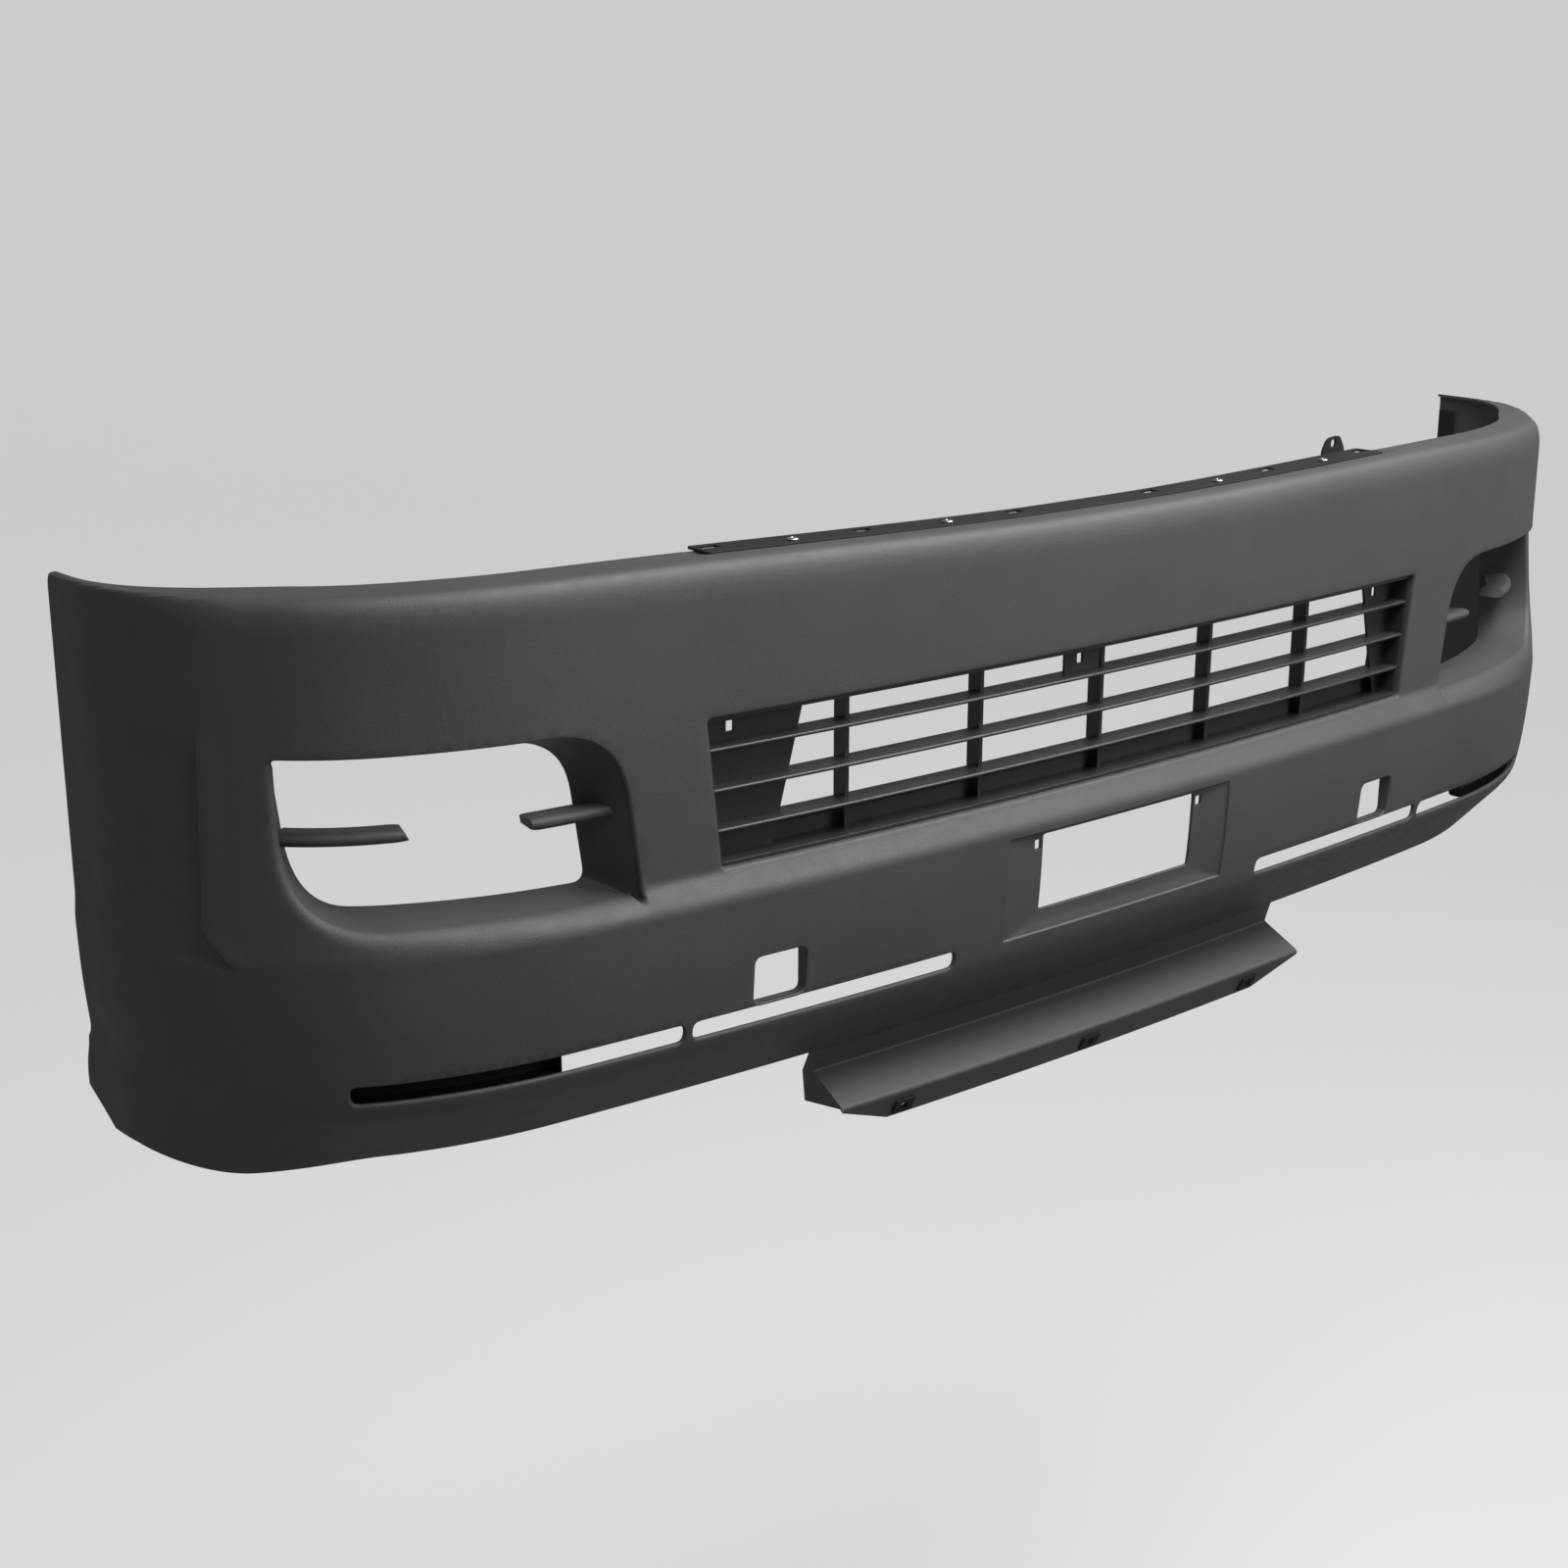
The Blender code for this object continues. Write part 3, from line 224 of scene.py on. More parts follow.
def plate_recess(s, z):
    """Inset of the number plate's recess: a small step, then a mitred slope to a flat floor."""
    inwards = min((0.158 - abs(s)) / 0.042, (-0.2985 - z) / 0.0050, (z + 0.4040) / 0.0130)
    return 0.0018 * ease(inwards, 0.0, 0.04) + 0.0042 * min(1.0, max(0.0, inwards))


def wing_panel(s, z):
    """Inset of the sunk panel on the wing, with the low ridge in front of its crease."""
    crease = 0.9465 - 0.95 * max(0.0, -0.266 - z)
    upper = 1 - ease(z, -0.128, -0.098)
    lower = ease(z, -0.298, -0.286)
    step = ease(abs(s), crease - 0.0002, crease + 0.0030)
    fade = 1 - ease(abs(s), crease + 0.02, crease + 0.11)
    ridge = ease(abs(s), crease - 0.026, crease - 0.001) * (1 - step)
    return (0.0042 * step * fade - 0.0016 * ridge) * upper * lower


def section_knots(s):
    """Corners of the cover's section: inset, height, corner radius."""
    a = abs(s)
    corner = ease(a, 0.566, 0.886)
    wing = ease(a, 0.86, WING_END_S - 0.03)
    under_strip = 1 - ease(a, STRIP_HALF + 0.006, STRIP_HALF + 0.022)
    face = mix(FACE_INSET, 0.003, wing)
    low_face = mix(face, 0.002, corner)
    crown = crown_z(s)
    depth = mix(mix(SHOULDER_DEPTH, FLANGE_DEPTH, under_strip), 0.012, wing)
    step = (STRIP_THICK + 0.0008) * under_strip
    step_inset = mix(min(depth - 0.010, STRIP_FRONT), 0.011, wing)
    return (
        (depth, crown - step, 0),
        (step_inset, crown - step, 0.001),
        (step_inset - 0.0030, crown, 0.001),
        (face + 0.001, crown - 0.002, mix(SHOULDER_RADIUS, 0.012, wing)),
        (face, FACE_TOP_Z, 0.030),
        (low_face, FACE_BOTTOM_Z, 0.004),
        (0.0, LIP_Z, 0.006),
        (0.001, -0.345, 0.030),
        (0.0060, -0.402, 0.022),
        (mix(0.011, 0.001, ease(a, 0.88, 1.03)), TUCK_Z, 0.014),
        (mix(BOTTOM_INSET, 0.002, ease(a, 0.80, 1.04)),
         mix(BOTTOM_Z, WING_BOTTOM_Z, ease(a, 0.93, 1.05)), 0),
    )


FALL_ROW = 1 + 2 * (ARC_STEPS + 1)
known_sections = {}


def section(s):
    """Dense section of the outer surface: insets, heights and lengths from the top down."""
    key = round(abs(s), 5)
    if key in known_sections:
        return known_sections[key]
    knots = section_knots(key)
    rows = []
    for k, (inset, z, radius) in enumerate(knots):
        here = Vector((inset, z))
        if not radius:
            rows.append(here)
            continue
        before = Vector(knots[k - 1][:2]) - here
        after = Vector(knots[k + 1][:2]) - here
        start = here + before * min(0.48, radius / before.length)
        end = here + after * min(0.48, radius / after.length)
        rows += curve(start, here, end, ARC_STEPS)
    rows = np.array([tuple(row) for row in rows])
    lengths = np.concatenate([[0], np.cumsum(np.linalg.norm(np.diff(rows, axis=0), axis=1))])
    known_sections[key] = (rows[:, 0], rows[:, 1], lengths)
    return known_sections[key]


def skin_inset(s, z):
    """Inset of the outer surface at a height below the shoulder."""
    insets, heights, _ = section(s)
    inset = float(np.interp(-z, -heights[FALL_ROW:], insets[FALL_ROW:]))
    return inset + plate_recess(s, z) + wing_panel(s, z)


def skin(s, w):
    """Inset and height of the outer surface; w is the height except in the two end zones."""
    insets, heights, lengths = section(s)
    if w > SHOULDER_Z:
        share = (w - SHOULDER_Z) / SHOULDER_SPAN
        below = float(np.interp(-SHOULDER_Z, -heights[FALL_ROW:], lengths[FALL_ROW:]))
        at = below * (1 - share)
        z = float(np.interp(at, lengths, heights))
        return float(np.interp(at, lengths, insets)) + wing_panel(s, z), z
    z = w if w >= TAIL_Z else mix(TAIL_Z, float(heights[-1]), (TAIL_Z - w) / TAIL_SPAN)
    return skin_inset(s, z), z


def behind_skin(s, z, extra=0.0):
    """Inset just behind the cover's wall, also where the wall slopes."""
    deepest = max(skin_inset(s, z + step) for step in (-0.007, 0, 0.007))
    return deepest + WALL + FIT + extra


def wing_end(z):
    """Where the wing ends at a height: a tab low down, then a cut corner."""
    if z > -0.448:
        return WING_END_S - mix(0.0075, 0.0010, ease(z, -0.392, -0.404))
    return WING_END_S - mix(0.0010, 0.045, min(1.0, (-0.448 - z) / 0.026) ** 0.9)


def on_skin(s, w, depth=0.0):
    """Point of the outer surface at (s, w), or depth behind it."""
    inset, z = skin(s, w)
    a = abs(s)
    start = WING_END_S - 0.06
    if a > start:
        a = start + (a - start) * (wing_end(z) - start) / (WING_END_S - start)
    return place(a if s >= 0 else -a, inset + depth, z)


# ---- mesh helpers

def to_mesh(name, bm):
    mesh = bpy.data.meshes.new(name)
    bm.to_mesh(mesh)
    bm.free()
    return mesh


def linked(name, data):
    obj = bpy.data.objects.new(name, data)
    bpy.context.scene.collection.objects.link(obj)
    return obj


def new_piece(name, bm, made, replaced, bevel=0.0, smooth=40):
    """A finished piece that rides on the frame and takes the place of a node."""
    mesh = to_mesh(name, bm)
    obj = linked(name, mesh)
    mesh.materials.append(made)
    if bevel:
        edge = obj.modifiers.new("edges", 'BEVEL')
        edge.width = bevel
        edge.segments = 2
        edge.limit_method = 'ANGLE'
        edge.angle_limit = radians(50)
    mesh.shade_smooth()
    mesh.set_sharp_from_angle(angle=radians(smooth))
    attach(obj, "root")
    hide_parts(replaced)


def applied(obj, *tools):
    """The object's mesh with its modifiers applied; the objects go."""
    mesh = bpy.data.meshes.new_from_object(
        obj.evaluated_get(bpy.context.evaluated_depsgraph_get()))
    for used in (obj, *tools):
        bpy.data.objects.remove(used, do_unlink=True)
    return mesh


def thickened(mesh, thick, offset):
    """An open sheet with a wall behind it (offset -1) or in front of it (offset 1)."""
    sheet = linked("sheet", mesh)
    wall = sheet.modifiers.new("wall", 'SOLIDIFY')
    wall.thickness = thick
    wall.offset = offset
    return applied(sheet)


def carved(mesh, tools):
    """The mesh with the tools' solids taken away."""
    body = linked("body", mesh)
    cutters = [linked("cutter", tool) for tool in tools]
    for cutter in cutters:
        step = body.modifiers.new("cut", 'BOOLEAN')
        step.operation = 'DIFFERENCE'
        step.solver = 'EXACT'
        step.object = cutter
    return applied(body, *cutters)


def opened(mesh):
    bm = bmesh.new()
    bm.from_mesh(mesh)
    return bm


def neighbours(count):
    return [(k, (k + 1) % count) for k in range(count)]


def stations(start, end, pitch):
    """Even stations from start to end, about a pitch apart."""
    count = max(1, round(abs(end - start) / pitch + 0.49))
    return [mix(start, end, k / count) for k in range(count + 1)]


def add_loft(bm, rings, closed=False):
    """A solid through rings of points; closed joins the last ring to the first."""
    loops = [[bm.verts.new(point) for point in ring] for ring in rings]
    made = []
    for low, high in zip(loops, loops[1:] + (loops[:1] if closed else [])):
        for k, j in neighbours(len(low)):
            made.append(bm.faces.new((low[k], low[j], high[j], high[k])))
    if not closed:
        made.append(bm.faces.new(list(reversed(loops[0]))))
        made.append(bm.faces.new(loops[-1]))
    bmesh.ops.recalc_face_normals(bm, faces=made)


def add_bar(bm, start, end, profile, pitch=0.012):
    """A bar along the belt line; profile(s) gives its closed section as (inset, z) pairs."""
    add_loft(bm, [[place(s, inset, z) for inset, z in profile(s)]
                  for s in stations(start, end, pitch)])


def bent(points, radii, steps=5):
    """A polyline whose inner corners are rounded."""
    line = [Vector(points[0])]
    for k in range(1, len(points) - 1):
        here = Vector(points[k])
        before = (Vector(points[k - 1]) - here).normalized() * radii[k - 1]
        after = (Vector(points[k + 1]) - here).normalized() * radii[k - 1]
        line += curve(here + before, here, here + after, steps)
    line.append(Vector(points[-1]))
    return line


def sheet_section(line, thick):
    """Closed section of a bent sheet with the given middle line and thickness."""
    left, right = [], []
    for k, here in enumerate(line):
        before = (here - line[k - 1]).normalized() if k else None
        after = (line[k + 1] - here).normalized() if k + 1 < len(line) else None
        along = ((before or after) + (after or before)).normalized()
        across = Vector((-along.y, along.x)) * (thick / 2 / along.dot(after or before))
        left.append(here + across)
        right.append(here - across)
    return [tuple(point) for point in left + right[::-1]]


def rounded(corners, radii, steps=6, between=(0, 0, 0, 0)):
    """A polygon with rounded corners; between counts the extra points after each corner."""
    points = []
    count = len(corners)
    for k in range(count):
        here = Vector(corners[k])
        before = (Vector(corners[k - 1]) - here).normalized()
        after = (Vector(corners[(k + 1) % count]) - here).normalized()
        radius, following = radii[k], radii[(k + 1) % count]
        points += curve(here + before * radius, here, here + after * radius, steps)
        target = Vector(corners[(k + 1) % count]) - after * following
        end = here + after * radius
        points += [end.lerp(target, (j + 1) / (between[k] + 1)) for j in range(between[k])]
    return [Vector(point) for point in points]


def counter_clockwise(points):
    """The loop, turned round if it runs clockwise."""
    area = sum(a.x * b.y - b.x * a.y for a, b in zip(points, points[1:] + points[:1]))
    return points if area > 0 else points[::-1]


def inside(points, loop):
    """Which of the points (an n x 2 array) lie inside a loop."""
    ring = np.array([tuple(p) for p in loop])
    ahead = np.roll(ring, -1, axis=0)
    x, y = points[:, :1], points[:, 1:2]
    crosses = (ring[:, 1] > y) != (ahead[:, 1] > y)
    rise = np.where(ahead[:, 1] == ring[:, 1], 1e-12, ahead[:, 1] - ring[:, 1])
    at = ring[:, 0] + (y - ring[:, 1]) * (ahead[:, 0] - ring[:, 0]) / rise
    return (np.sum(crosses & (x < at), axis=1) % 2) == 1


def distance(points, loop):
    """Distance of each point to a loop."""
    ring = np.array([tuple(p) for p in loop])
    along = np.roll(ring, -1, axis=0) - ring
    offset = points[:, None, :] - ring[None, :, :]
    share = np.clip((offset * along).sum(2) / np.maximum((along ** 2).sum(1), 1e-16), 0, 1)
    return np.linalg.norm(offset - share[..., None] * along[None], axis=2).min(1)


def centres(points, faces):
    return np.array([[sum(points[v].x for v in face) / 3, sum(points[v].y for v in face) / 3]
                     for face in faces])


def triangles(points, loops, holes):
    """Triangles over flat points that keep the loops as edges and leave the holes open."""
    edges = [(a, b) for loop in loops for a, b in zip(loop, loop[1:] + loop[:1])]
    found = delaunay_2d_cdt([Vector(p) for p in points], edges, [], 0, 1e-7)
    flat, faces, origins = found[0], found[2], found[3]
    names = [origin[0] if origin else None for origin in origins]
    keep = np.ones(len(faces), bool)
    for hole in holes:
        keep &= ~inside(centres(flat, faces), hole)
    return [[names[v] for v in face] for face, kept in zip(faces, keep)
            if kept and all(names[v] is not None for v in face)]


def add_slab(bm, outline, holes, near, far, to_point):
    """A plate with holes; to_point maps its flat points and a depth into the model."""
    loops = [counter_clockwise([Vector(p) for p in loop]) for loop in [outline] + list(holes)]
    flat, runs = [], []
    for loop in loops:
        runs.append(list(range(len(flat), len(flat) + len(loop))))
        flat += loop
    faces = triangles(flat, runs, loops[1:])
    faces = [face for face, ok in zip(faces, inside(centres(flat, faces), loops[0])) if ok]
    front, back = [[bm.verts.new(to_point(p.x, p.y, depth)) for p in flat] for depth in (near, far)]
    made = [bm.faces.new([front[v] for v in face]) for face in faces]
    made += [bm.faces.new([back[v] for v in reversed(face)]) for face in faces]
    for run in runs:
        for a, b in zip(run, run[1:] + run[:1]):
            made.append(bm.faces.new((front[b], front[a], back[a], back[b])))
    bmesh.ops.recalc_face_normals(bm, faces=made)


def ring_around(x, y, radius_x, radius_y=None, sides=20, turn=0.0):
    return [Vector((x + radius_x * cos(turn + 2 * pi * k / sides),
                    y + (radius_y or radius_x) * sin(turn + 2 * pi * k / sides))) for k in range(sides)]


def rectangle(x0, x1, y0, y1, radius=0.0008, between=(0, 0, 0, 0)):
    return rounded([(x0, y0), (x1, y0), (x1, y1), (x0, y1)], [radius] * 4, 3, between)


def stood(at, axis):
    """Matrix that stands a local Z axis along the axis at a point."""
    return Matrix.Translation(at) @ axis.to_track_quat('Z', 'Y').to_matrix().to_4x4()


def circle(turn, radius, height, sides):
    return [turn @ Vector((radius * cos(2 * pi * k / sides), radius * sin(2 * pi * k / sides), height))
            for k in range(sides)]


def add_turned(bm, profile, at, axis, sides=28):
    """A solid turned about an axis; profile lists (radius, height) and closes on the axis."""
    turn = stood(at, axis)
    first = bm.verts.new(turn @ Vector((0, 0, profile[0][1])))
    last = bm.verts.new(turn @ Vector((0, 0, profile[-1][1])))
    loops = [[bm.verts.new(point) for point in circle(turn, r, z, sides)] for r, z in profile[1:-1]]
    made = []
    for k, j in neighbours(sides):
        made.append(bm.faces.new((first, loops[0][j], loops[0][k])))
        made.append(bm.faces.new((last, loops[-1][k], loops[-1][j])))
        for low, high in zip(loops, loops[1:]):
            made.append(bm.faces.new((low[k], low[j], high[j], high[k])))
    bmesh.ops.recalc_face_normals(bm, faces=made)


# ---- cover shell

def graded(limits):
    """Stations through a list of (position, pitch of the run that follows)."""
    found = []
    for (start, pitch), (end, _) in zip(limits, limits[1:]):
        found += stations(start, end, pitch)[:-1]
    return found + [limits[-1][0]]


def cover_columns():
    notches = sorted(s + side * STRIP_SLOT_ROOM for s in STRIP_SLOTS for side in (-1, 1))
    limits = [(0.0, COLUMN_PITCH), (notches[0], COLUMN_PITCH), (notches[1], 0.004),
              (0.154, 0.0010), (0.160, COLUMN_PITCH), (notches[2], COLUMN_PITCH),
              (notches[3], COLUMN_PITCH), (notches[4], COLUMN_PITCH), (notches[5], 0.004),
              (0.492, COLUMN_PITCH), (0.790, CORNER_PITCH), (0.918, 0.0016), (0.956, 0.003),
              (0.985, CORNER_PITCH), (WING_END_S, 0)]
    half = graded(limits)
    return [-s for s in half[:0:-1]] + half


def cover_rows():
    top = SHOULDER_Z + SHOULDER_SPAN
    shares = graded([(0.0, 0.0435), (0.60, 0.045), (0.735, 0.0085), (0.800, 0.05),
                     (NOTCH_SHARE, 0.05), (1.0, 0)])
    rows = [mix(SHOULDER_Z, top, share) for share in shares[::-1]]
    falls = graded([(-SHOULDER_Z, 0.0065), (0.250, 0.0019), (0.2965, 0.0012), (0.3045, 0.0065),
                    (0.3965, 0.0013), (0.4055, 0.0030), (-TAIL_Z, 0.006),
                    (TAIL_SPAN - TAIL_Z, 0)])
    return rows + [-fall for fall in falls[1:]]


def outward_normals(loop):
    """Unit normals of a counter-clockwise loop, pointing out of it."""
    normals = []
    for k, ahead in neighbours(len(loop)):
        along = loop[ahead] - loop[k - 1]
        normals.append(Vector((along.y, -along.x)).normalized())
    return normals


def rim_widths(normals, side, widths):
    """Rim width for each normal, from the widths towards outside, top, inside and bottom."""
    outer, top, inner, bottom = widths
    found = []
    for normal in normals:
        across = outer if normal.x * side > 0 else inner
        upright = top if normal.y > 0 else bottom
        found.append(across * normal.x ** 2 + upright * normal.y ** 2)
    return found


def opening(edge, side, widths, depth, back, from_outer=False, sink=0.0):
    """An opening with a rolled rim: its edge, its rim's outer contour, depths and return.

    back gives the inset at which a return ends; sink deepens the rim at the bottom.
    """
    edge = counter_clockwise(edge)
    normals = outward_normals(edge)
    widths = rim_widths(normals, side, widths)
    if from_outer:
        outer = edge
        edge = [p - n * w for p, n, w in zip(outer, normals, widths)]
    else:
        outer = [p + n * w for p, n, w in zip(edge, normals, widths)]
    depths = [depth + (sink * normal.y ** 2 if normal.y < 0 else 0.0) for normal in normals]
    return {"edge": edge, "outer": outer, "depths": depths, "ends": back and [back] * len(edge)}


def grille_corners(margin=0.0):
    """The grille opening's corners, moved inwards by a margin."""
    return [(-GRILLE_HALF_TOP + margin, GRILLE_TOP_Z - margin),
            (-GRILLE_HALF_BOTTOM + margin, GRILLE_BOTTOM_Z + margin),
            (GRILLE_HALF_BOTTOM - margin, GRILLE_BOTTOM_Z + margin),
            (GRILLE_HALF_TOP - margin, GRILLE_TOP_Z - margin)]


FOG_SINK = 0.0050
# Corners and radii of the rolled rim around a lamp pocket, and of the pocket's rear end.
FOG_RIM = (((0.890, -0.1205), (0.884, -0.277), (0.556, -0.2875), (0.577, -0.1225)),
           (0.012, 0.095, 0.016, 0.068))
FOG_REAR = (((0.908, -0.1345), (0.889, -0.2605), (0.589, -0.2705), (0.607, -0.1385)),
            (0.014, 0.060, 0.014, 0.050))


def fog_outline(side, corners, radii):
    return rounded([(side * s, z) for s, z in corners], radii, 12, (12, 14, 9, 12))


def fog_opening(side):
    return opening(fog_outline(side, *FOG_RIM), side, (0.007, 0.0020, 0.004, 0.0125), 0.0047, None,
                   True, FOG_SINK)


def pocket_front(s, z, normal):
    """Inset of the pocket's mouth, just behind the cover's rim."""
    return behind_skin(s, z, 0.0016) + (FOG_SINK * normal.y ** 2 if normal.y < 0 else 0.0)


def cover_openings():
    """All openings in blocks; no two blocks share a cell of the cover's grid."""
    blocks = [[opening(rounded(grille_corners(), (0.005,) * 4, 5, (16, 90, 16, 90)), 1,
                       (0.0030, 0.0034, 0.0030, 0.0030), 0.0034,
                       FACE_INSET + GRILLE_RETURN)]]
    lower = [opening(rectangle(-PLATE_HALF, PLATE_HALF, *PLATE_HEIGHTS, 0.0030, (20, 7, 20, 7)), 1,
                     (0.0012,) * 4, 0.0012, None)]
    for side in (-1, 1):
        hole = fog_opening(side)
        normals = outward_normals(hole["edge"])
        hole["ends"] = [pocket_front(p.x, p.y, n) - 0.0001 for p, n in zip(hole["edge"], normals)]
        blocks.append([hole])
        tow_eye = sorted(side * s for s in TOW_EYE_S)
        lower.append(opening(rectangle(*tow_eye, *TOW_EYE_HEIGHTS, 0.0075, (5, 4, 5, 4)), side,
                             (0.0018, 0.0018, 0.0018, 0.0010), 0.0018, 0.0165))
        screw = side * PLATE_SCREW_S
        lower.append(opening(
            rectangle(screw - PLATE_SCREW_HALF, screw + PLATE_SCREW_HALF, *PLATE_SCREW_HEIGHTS,
                      0.0010, (1, 1, 1, 1)), side, (0.0006,) * 4, 0.0006, None))
        for start, end in ((SLOT_INNER_S, SLOT_DIVIDER_S - SLOT_DIVIDER / 2),
                           (SLOT_DIVIDER_S + SLOT_DIVIDER / 2, SLOT_OUTER_S)):
            ends = sorted((side * start, side * end))
            lower.append(opening(
                rectangle(*ends, SLOT_BOTTOM_Z, SLOT_TOP_Z, 0.0070, (34, 1, 34, 1)),
                side, (0.0022, 0.0009, 0.0022, 0.0040), 0.0035, None))
    blocks.append(lower)
    return blocks


def rim_walls(hole):
    """Loops of points down an opening's rolled rim and along the return behind it."""
    walls = []
    for step in range(1, RIM_STEPS + 1):
        turn = pi / 2 * step / RIM_STEPS
        rolled = [edge.lerp(outer, 1 - sin(turn)) for edge, outer in zip(hole["edge"], hole["outer"])]
        walls.append([on_skin(p.x, p.y, depth * (1 - cos(turn)))
                      for p, depth in zip(rolled, hole["depths"])])
    if hole["ends"]:
        for share in (0.5, 1.0):
            walls.append([place(p.x, mix(skin(p.x, p.y)[0] + depth, end, share), p.y)
                          for p, depth, end in zip(hole["edge"], hole["depths"], hole["ends"])])
    else:
        walls.append([on_skin(p.x, p.y, max(depth + 0.0008, WALL))
                      for p, depth in zip(hole["edge"], hole["depths"])])
    return walls


def fill_block(block, columns, rows, index, points, faces):
    """Adds a block's openings, their rims and the skin around them; returns the cells used."""
    reach = [point for hole in block for point in hole["outer"]]
    i0 = max(i for i, s in enumerate(columns) if s <= min(p.x for p in reach) - 0.003)
    i1 = min(i for i, s in enumerate(columns) if s >= max(p.x for p in reach) + 0.003)
    j0 = max(j for j, w in enumerate(rows) if w >= max(p.y for p in reach) + 0.002)
    j1 = min(j for j, w in enumerate(rows) if w <= min(p.y for p in reach) - 0.002)
    border = ([(i, j1) for i in range(i0, i1)] + [(i1, j) for j in range(j1, j0, -1)]
              + [(i, j0) for i in range(i1, i0, -1)] + [(i0, j) for j in range(j0, j1)])
    on_border = set(border)
    within = [(i, j) for i in range(i0, i1 + 1) for j in range(j0, j1 + 1) if (i, j) not in on_border]
    where = np.array([(columns[i], rows[j]) for i, j in within])
    free = np.ones(len(within), bool)
    for hole in block:
        free &= ~inside(where, hole["outer"]) & (distance(where, hole["outer"]) > 0.0012)
    kept = border + [cell for cell, ok in zip(within, free) if ok]
    names = [index[cell] for cell in kept]
    spots = [(columns[i], rows[j]) for i, j in kept]
    loops = [list(range(len(border)))]
    for hole in block:
        count = len(hole["outer"])
        loops.append(list(range(len(names), len(names) + count)))
        hole["first"] = list(range(len(points), len(points) + count))
        names += hole["first"]
        spots += [(point.x, point.y) for point in hole["outer"]]
        points += [on_skin(point.x, point.y) for point in hole["outer"]]
    for face in triangles(spots, loops, [hole["outer"] for hole in block]):
        faces.append([names[v] for v in face][::-1])
    for hole in block:
        before = hole["first"]
        for wall in rim_walls(hole):
            here = list(range(len(points), len(points) + len(wall)))
            points += wall
            faces += [[before[k], before[m], here[m], here[k]] for k, m in neighbours(len(wall))]
            before = here
    return {(i, j) for i in range(i0, i1) for j in range(j0, j1)}


def strip_notches(columns, rows):
    """Cells of the grid that are left out under the strip's slots."""
    above = 2 * mix(SHOULDER_Z, SHOULDER_Z + SHOULDER_SPAN, NOTCH_SHARE)
    return {(i, j) for i in range(len(columns) - 1) for j in range(len(rows) - 1)
            if rows[j] + rows[j + 1] > above
            and any(abs(abs((columns[i] + columns[i + 1]) / 2) - s) < STRIP_SLOT_ROOM
                    for s in STRIP_SLOTS)}


def cover_mesh():
    """The cover's outer surface and rims, as an open sheet whose normals point outwards."""
    columns, rows = cover_columns(), cover_rows()
    cells = [(i, j) for i in range(len(columns)) for j in range(len(rows))]
    index = {cell: number for number, cell in enumerate(cells)}
    points = [on_skin(columns[i], rows[j]) for i, j in cells]
    faces = []
    gone = strip_notches(columns, rows)
    for block in cover_openings():
        gone |= fill_block(block, columns, rows, index, points, faces)
    faces += [[index[i, j], index[i, j + 1], index[i + 1, j + 1], index[i + 1, j]]
              for i in range(len(columns) - 1) for j in range(len(rows) - 1) if (i, j) not in gone]
    mesh = bpy.data.meshes.new("cover_sheet")
    mesh.from_pydata([tuple(point) for point in points], [], faces)
    bm = opened(mesh)
    bmesh.ops.delete(bm, geom=[v for v in bm.verts if not v.link_faces], context='VERTS')
    bmesh.ops.recalc_face_normals(bm, faces=bm.faces)
    probe = min(bm.faces, key=lambda face: (face.calc_center_median() - on_skin(0.3, -0.09)).length)
    if probe.normal.y > 0:
        bmesh.ops.reverse_faces(bm, faces=bm.faces)
    return to_mesh("cover_sheet", bm)


PUSH_NUTS = sorted(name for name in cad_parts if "push_nut" in name)


def nut_axis(name):
    """Centre of a push nut of the frame and its axis, pointing into the cover."""
    corners = np.array([tuple(v.co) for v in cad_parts[name].data.vertices])
    middle = corners.mean(0)
    point, axis = Vector(middle), Vector(np.linalg.svd(corners - middle)[2][2])
    inwards = Vector((point.x / 2, 0.30, -0.25)) - point
    return point, axis if axis.dot(inwards) > 0 else -axis


def grille_screws():
    return [(s, z) for s in (-SCREW_S, SCREW_S)
            for z in (GRILLE_TOP_Z + SCREW_MARGIN, GRILLE_BOTTOM_Z - SCREW_MARGIN)]


def build_cover(made):
    """The shell with its wall, the stakes under the push nuts and the grille's screw bosses."""
    mesh = cover_mesh()
    outer = opened(mesh)
    skin_tree = BVHTree.FromBMesh(outer)
    outer.free()
    bm = opened(thickened(mesh, WALL, -1))
    for name in PUSH_NUTS:
        centre, axis = nut_axis(name)
        depth = skin_tree.ray_cast(centre, -axis)[3] or 0.007
        add_turned(bm, ((0, 0.0014 - depth), (STAKE * 1.5, 0.0014 - depth), (STAKE, 0.0040 - depth),
                        (STAKE, STAKE_REACH - 0.0008), (STAKE - 0.0008, STAKE_REACH),
                        (0, STAKE_REACH)), centre, axis, 16)
    for s, z in grille_screws():
        base = max(skin_inset(s, z + step) for step in (-BOSS, 0, BOSS)) + 0.0006
        top = FACE_INSET + GRILLE_RETURN + FIT
        add_turned(bm, ((0, base), (BOSS, base), (BOSS, top - 0.0008), (BOSS - 0.0008, top),
                        (0.0030, top), (0.0030, top - 0.002), (0, top - 0.002)),
                   place(s, 0, z), -belt(s)[1], 24)
    new_piece("cover_shell", bm, made, "bumper_cover", smooth=32)


# ---- grille

def add_tube(bm, outer, inner, near, far):
    add_loft(bm, [[place(p.x, near, p.y) for p in outer], [place(p.x, far, p.y) for p in outer],
                  [place(p.x, far, p.y) for p in inner], [place(p.x, near, p.y) for p in inner]],
             closed=True)


